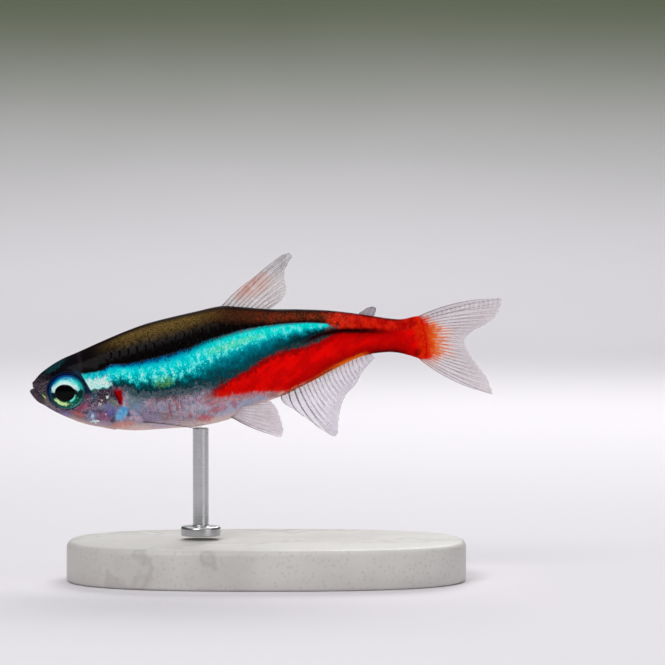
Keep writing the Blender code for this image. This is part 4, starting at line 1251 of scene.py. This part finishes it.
def skin_material():
    g = Graph("painted_skin")
    f = SkinFields(g)
    colour = flank_colour(g, f)
    colour = add_head(g, f, colour)
    colour = add_red(g, f, colour)
    colour = add_back(g, f, colour)
    colour = add_stalk(g, f, colour)
    colour = add_edges(g, f, colour)
    colour = add_stripe(g, f, colour)
    colour = add_cheek_patch(g, f, colour)
    roughness = f.medium.fade(0.3, 0.7, 0.34, 0.46)
    height = f.fine * 0.6 + f.grit * 0.4
    return g.finish(Base_Color=colour, Roughness=roughness, Normal=g.bump(height, 0.35, 0.03),
                    Specular_IOR_Level=0.005, Coat_Weight=0.04, Coat_Roughness=0.15)


# Centre and radii of the pupil, from the eye's middle.
PUPIL = ((-0.17, -0.08), (0.77, 0.63))

# Arcs of the iris round the pupil: angles from the rear upward, inner and outer radius in
# millimetres, colour. Later arcs lie over earlier ones.
IRIS_ARCS = [
    (-180, 180, 1.10, 1.60, (2, 70, 84)),
    (-125, -20, 0.60, 1.45, (0, 112, 92)),
    (150, 180, 0.50, 1.60, (0, 58, 96)),
    (30, 150, 0.70, 1.32, (16, 152, 206)),
    (8, 48, 0.60, 1.50, (20, 190, 186)),
    (14, 74, 0.90, 1.16, (110, 244, 232)),
    (60, 150, 0.92, 1.06, (30, 170, 200)),
    (28, 178, 0.55, 0.92, (220, 255, 250)),
    (40, 150, 0.86, 0.98, (150, 246, 240)),
    (14, 40, 0.70, 1.05, (226, 255, 252)),
    (150, 178, 0.60, 1.08, (216, 255, 250)),
    (-14, 10, 0.60, 1.45, (2, 46, 40)),
    (-180, -150, 0.50, 1.30, (2, 26, 30)),
    (-150, -70, 0.60, 1.16, (14, 72, 40)),
    (-148, -76, 0.74, 0.97, (218, 255, 176)),
    (-58, -14, 0.66, 0.84, (120, 244, 220)),
]


# The eye's rim and edge, by the part of the way round from the front edge over the bottom.
RIM_STOPS = [(0.0, (0, 52, 92)), (0.14, (8, 70, 74)), (0.30, (20, 110, 100)),
             (0.40, (100, 160, 156)), (0.52, (70, 130, 130)), (0.60, (10, 96, 120)),
             (0.75, (2, 50, 120)), (1.0, (0, 62, 110))]
EDGE_STOPS = [(0.0, (0, 40, 84)), (0.14, (30, 60, 76)), (0.25, (84, 92, 110)),
              (0.36, (30, 24, 44)), (0.50, (8, 20, 40)), (0.66, (2, 14, 52)),
              (0.80, (0, 4, 58)), (1.0, (0, 40, 84))]


def eye_material():
    g = Graph("painted_eye")
    place = g.vector("iris")
    x, _, z = g.split(place)
    fine = g.noise(place, 7.0, 3, 0.6)
    (centre_x, centre_z), (radius_x, radius_z) = PUPIL
    dx, dz = x - centre_x, z - centre_z
    radius = g.length(dx, dz) + (fine - 0.5) * 0.3
    angle = g.math("ARCTAN2", dz, dx) * math.degrees(1.0)
    angle = angle + (g.noise(place, 4.0, 3, 0.6) - 0.5) * 44.0
    colour = g.mix(fine.fade(0.4, 0.6), (0, 84, 80), (10, 124, 104))
    for start, stop, inner, outer, tint in IRIS_ARCS:
        arc = angle.band(start, stop, 7.0) * radius.band(inner, outer, 0.05)
        colour = g.mix(arc, colour, tint)
    emerald = (g.noise(place, 11.0, 2).fade(0.48, 0.4) * radius.fade(0.84, 0.98)
               * angle.band(-80, -12, 10))
    colour = g.mix(emerald, colour, (0, 62, 26))
    glints = (g.cells(place, 6.5).fade(0.3, 0.16) * radius.fade(0.86, 1.0)
              * angle.band(-105, -25, 10))
    colour = g.mix(glints * 0.9, colour, (180, 232, 206))
    whole = g.length(x / EYE_LONG, z / EYE_TALL)
    turn = angle / 360 + 0.5
    colour = g.mix(whole.fade(1.1, 1.21), colour, g.ramp(turn, RIM_STOPS))
    colour = g.mix(whole.fade(1.28, 1.35), colour, g.ramp(turn, EDGE_STOPS))
    point = angle.band(-8, 24, 6) * radius.fade(0.98, 0.78)
    colour = g.mix(point, colour, (1, 8, 9))
    pupil = g.length(dx / radius_x, dz / radius_z).fade(1.03, 0.97)
    colour = g.mix(pupil, colour, (1, 1, 2))
    roughness = pupil.fade(0.0, 1.0, 0.3, 0.1)
    return g.finish(Base_Color=colour, Roughness=roughness, Specular_IOR_Level=0.04,
                    Coat_Weight=0.08, Coat_Roughness=0.04)


# Looks of the fins: how dense the membrane (web) and the rays are, with their tints.
FIN_LOOKS = {
    "dorsal_fin": dict(dense=0.34, web=(228, 218, 216), ray_dense=0.45, rays=(176, 162, 166)),
    "adipose_fin": dict(dense=0.75, web=(186, 176, 188), ray_dense=0.85, rays=(120, 100, 120)),
    "anal_fin": dict(dense=0.34, web=(226, 216, 230), ray_dense=0.62, rays=(186, 176, 190)),
    "caudal_fin": dict(dense=0.42, web=(236, 224, 228), ray_dense=0.45, rays=(184, 170, 178)),
    "pectoral_fin": dict(dense=0.06, web=(206, 198, 206), ray_dense=0.14, rays=(150, 136, 142)),
    "pelvic_fin": dict(dense=0.36, web=(248, 238, 244), ray_dense=0.45, rays=(200, 188, 196)),
}


class FinFields:
    """What a fin's nodes read: the places on the fin, and its look."""

    def __init__(self, g, name, on_ray):
        self.along, self.across = g.field("along"), g.field("across")
        self.place = g.vector("place")
        self.s, _, self.h = g.split(self.place)
        self.on_ray = on_ray
        look = FIN_LOOKS[name]
        self.plain = look["rays" if on_ray else "web"]
        self.dense = look["ray_dense" if on_ray else "dense"]
        self.clouds = g.noise(self.place, 1.8, 3)
        self.wander = g.noise(self.place, 2.6, 3) - 0.5


def caudal_look(g, f):
    """Scarlet root that turns orange and fades out, farthest along the middle rays."""
    off = abs(f.across - 0.48)
    middle = off.fade(0.42, 0.12)
    reach = middle * (1.7 if f.on_ray else 1.0) + (30.4 if f.on_ray else 30.2)
    beyond = f.s + f.wander * 1.6 - reach
    orange = beyond.fade(0.45, -0.65) * off.fade(0.49, 0.38, 0.25, 1.0)
    edge = off.fade(0.36, 0.48)
    red = (f.s + f.wander * 0.9 + edge * 0.9).fade(30.7, 29.75)
    warm = g.mix(beyond.fade(0.2, -1.0), (255, 176, 132), (255, 112, 26))
    warm = g.mix(red, warm, (246, 34, 2))
    beads = g.math("SINE", f.along * 120.0).fade(-0.2, 0.6) * f.across.fade(0.16, 0.02)
    plain = g.mix(beads * 0.35, f.plain, (92, 84, 92))
    clear = f.clouds.fade(0.3, 0.7, 0.85, 1.15) * f.dense
    alpha = g.larger(orange * 0.95, clear)
    return g.mix(g.larger(orange, red), plain, warm), g.larger(alpha, red)


def anal_look(g, f):
    """Orange root behind the front rays, milky streaks, and dark beads on the front rays."""
    warm = (f.along + f.wander * 0.1).fade(0.2, 0.04) * f.across.fade(0.1, 0.5)
    tint = g.mix(f.along.fade(0.02, 0.13), (255, 132, 30), (255, 206, 156))
    milky = f.clouds.fade(0.4, 0.62) * f.along.fade(0.98, 0.7) * 0.7
    plain = g.mix(milky, f.plain, (250, 246, 255))
    front = f.across.fade(0.24, 0.1)
    if f.on_ray:
        beads = g.math("SINE", f.along * 130.0).fade(-0.5, 0.3, 0.45, 1.0)
        plain = g.mix(front * beads, plain, (96, 86, 102))
    alpha = g.larger(f.clouds.fade(0.3, 0.7, 0.8, 1.25) * f.dense, warm * 0.9)
    if f.on_ray:
        alpha = g.larger(alpha, front * 0.85)
    return g.mix(warm, plain, tint), alpha


def dorsal_look(g, f):
    """Clear fin with a peach patch, dark strokes at the rays' roots and a greyer tip."""
    plain = g.mix(f.h.fade(5.6, 7.2), f.plain, (172, 166, 168))
    peach = g.spot(g.ragged(f.place, 2.5, 0.5), (17.5, 5.55), (1.25, 0.62), 22, 0.6)
    streak = peach * f.across.fade(0.05, 0.14) * f.across.fade(0.26, 0.16)
    plain = g.mix(peach * 0.5, plain, (236, 172, 146))
    plain = g.mix(streak * 0.6, plain, (196, 98, 60))
    base = f.along.fade(0.14, 0.04)
    if f.on_ray:
        alpha = g.larger(f.along.fade(0.1, 0.9, f.dense, 0.42), base * 0.9)
        return g.mix(base, plain, (80, 58, 78)), alpha
    alpha = f.clouds.fade(0.3, 0.7, 0.75, 1.25) * f.dense + peach * 0.12
    return g.mix(base * 0.4, plain, (120, 90, 96)), alpha


def plain_look(g, f):
    """Membrane of one tint, cloudy, with a darker front edge."""
    edge = f.across.fade(0.06, 0.01)
    alpha = f.clouds.fade(0.3, 0.7, 0.75, 1.25) * f.dense
    return g.mix(edge, f.plain, (124, 104, 112)), g.larger(alpha, edge * 0.5)


def adipose_look(g, f):
    """Fleshy and smooth, with a darker rim."""
    rim = g.larger(f.along.fade(0.8, 0.98), f.across.fade(0.1, 0.0))
    root = f.along.fade(0.34, 0.1)
    colour = g.mix(rim * 0.45, f.plain, (130, 112, 130))
    return g.mix(root, colour, (150, 60, 46)), f.clouds.fade(0.3, 0.7, 0.78, 0.92)


FIN_PAINT = {"caudal_fin": caudal_look, "anal_fin": anal_look, "dorsal_fin": dorsal_look,
             "adipose_fin": adipose_look}


def fin_materials(name):
    looks = []
    for word, on_ray in (("membrane", False), ("rays", True)):
        g = Graph(name + "_" + word)
        colour, alpha = FIN_PAINT.get(name, plain_look)(g, FinFields(g, name, on_ray))
        looks.append(g.finish(Base_Color=colour, Roughness=0.6, Alpha=alpha, Specular_IOR_Level=0.05))
    return looks


def stone_material():
    g = Graph("honed_stone")
    place = g.object_place()
    clouds = g.noise(place, 90.0, 4, 0.6)
    grains = g.cells(place, 2600.0)
    colour = g.mix(clouds.fade(0.35, 0.65), (206, 202, 198), (224, 221, 217))
    colour = g.mix(grains.fade(0.4, 0.15) * 0.3, colour, (182, 177, 174))
    veins = abs(g.noise(place, 45.0, 5, 0.65) - 0.5)
    colour = g.mix(veins.fade(0.02, 0.0) * 0.35, colour, (168, 162, 160))
    height = clouds + grains * 0.3
    return g.finish(Base_Color=colour, Roughness=grains.fade(0.0, 0.6, 0.38, 0.52),
                    Normal=g.bump(height, 0.2, 0.05))


def steel_material():
    g = Graph("satin_steel")
    place = g.object_place()
    brushed = g.noise(g.stretch(place, (300.0, 300.0, 9000.0)), 1.0, 3)
    colour = g.mix(brushed.fade(0.3, 0.7), (204, 204, 206), (210, 210, 212))
    return g.finish(Base_Color=colour, Metallic=1.0, Roughness=brushed.fade(0.3, 0.7, 0.27, 0.31),
                    Normal=g.bump(brushed, 0.01, 0.002))


# Stage: floor, lights and camera.

FLOOR_FLAT, FLOOR_BEND, FLOOR_HEIGHT = 450.0, 420.0, 900.0
FLOOR_SEGMENTS = 96
WALL_START, WALL_END = 0.006, 0.085   # heights, in metres, between which the wall's green fades in
MIDDLE = (0.0, 0.0, 15.0)

# Lights: place, aim and size in millimetres, and power in watts.
LIGHTS = {
    "key": ((-120.0, -210.0, 230.0), MIDDLE, 150.0, 0.40),
    "fill": ((190.0, -200.0, 90.0), MIDDLE, 200.0, 0.08),
    "back": ((60.0, 220.0, 200.0), MIDDLE, 180.0, 0.30),
    "backdrop": ((0.0, 460.0, 330.0), (0.0, 430.0, 0.0), 320.0, 0.65),
}
SKY_COLOUR, SKY_STRENGTH = (0.93, 0.95, 1.0, 1.0), 0.8


def stage_floor():
    """Pale floor that sweeps up into a round wall far from the model."""
    profile = [(r, 0.0) for r in np.linspace(20.0, FLOOR_FLAT, 8)]
    profile += [(FLOOR_FLAT + FLOOR_BEND * math.sin(a), FLOOR_BEND * (1 - math.cos(a)))
                for a in quarter_turn(20)[1:]]
    profile.append((FLOOR_FLAT + FLOOR_BEND, FLOOR_HEIGHT))
    count = FLOOR_SEGMENTS
    angle = full_turn(count)
    points = [(0.0, 0.0, 0.0)]
    points += [(r * math.cos(a), r * math.sin(a), z) for r, z in profile for a in angle]
    faces = [(0, 1 + k, 1 + (k + 1) % count) for k in range(count)]
    faces += grid_faces(len(profile), count, closed=True, first=1).tolist()
    g = Graph("pale_floor")
    place = g.object_place()
    tone = g.noise(place, 12.0, 2)
    height = g.split(place)[2] + (tone - 0.5) * 0.01
    floor_tone = g.mix(tone, (232, 227, 232), (237, 232, 237))
    colour = g.mix(height.fade(WALL_START, WALL_END), floor_tone, (98, 106, 82))
    material = g.finish(Base_Color=colour, Roughness=0.8)
    floor = new_piece("floor", np.array(points) * MM, faces, [material])


def area_light(name, place, aim, size, power):
    data = bpy.data.lights.new(name, "AREA")
    data.shape = "DISK"
    data.size = size * MM
    data.energy = power
    light = bpy.data.objects.new(name, data)
    light.location = np.array(place) * MM
    direction = Vector(aim) - Vector(place)
    light.rotation_euler = direction.to_track_quat("-Z", "Y").to_euler()
    bpy.context.scene.collection.objects.link(light)


def stage_lights():
    for name, settings in LIGHTS.items():
        area_light(name, *settings)
    world = bpy.data.worlds.new("soft_sky")
    world.use_nodes = True
    background = world.node_tree.nodes["Background"]
    background.inputs["Color"].default_value = SKY_COLOUR
    background.inputs["Strength"].default_value = SKY_STRENGTH
    bpy.context.scene.world = world


TARGET = (4.96, 0.0, 18.57)   # what lies at the middle of the picture
LENS, SENSOR = 200.0, 36.0
PICTURE_PIXELS = 665
PIXEL_MM = 0.07489            # size of one of the photo's pixels at the fish
FLANK_Y = 0.8                 # how far in front of the middle that size holds
ELEVATION = math.radians(2.2)
CLIP_START, CLIP_END = 0.005, 10.0


def stage_camera():
    data = bpy.data.cameras.new("camera")
    data.lens = LENS
    data.sensor_width = SENSOR
    data.clip_start = CLIP_START
    data.clip_end = CLIP_END
    camera = bpy.data.objects.new("camera", data)
    distance = PICTURE_PIXELS * PIXEL_MM * LENS / SENSOR + FLANK_Y
    place = (TARGET[0], TARGET[1] - distance * math.cos(ELEVATION),
             TARGET[2] + distance * math.sin(ELEVATION))
    camera.location = np.array(place) * MM
    camera.rotation_euler = (math.pi / 2 - ELEVATION, 0.0, 0.0)
    bpy.context.scene.collection.objects.link(camera)
    bpy.context.scene.camera = camera
    bpy.context.scene.view_settings.view_transform = "Standard"


# Ends of the names of paired pieces with their sides, and of the pieces in the middle.
SIDES = (("_left", -1), ("_right", 1))
MIDDLE_ONLY = (("", 1),)
PAIRED_FINS = ("pectoral_fin", "pelvic_fin")


def build_fish():
    skin = skin_material()
    skin_piece(skin)
    table = BodyTable()
    for word, side in SIDES:
        scales_piece("scales" + word, side, table, skin)
    eye = eye_material()
    for word, side in SIDES:
        eye_piece("eye" + word, side, eye)
    for name, fin in FINS.items():
        looks = fin_materials(name)
        for word, side in SIDES if name in PAIRED_FINS else MIDDLE_ONLY:
            fin_piece(name + word, fin, side, looks)


def main():
    build_fish()
    rod_piece(steel_material())
    base_piece(stone_material())
    stage_floor()
    stage_lights()
    stage_camera()


main()
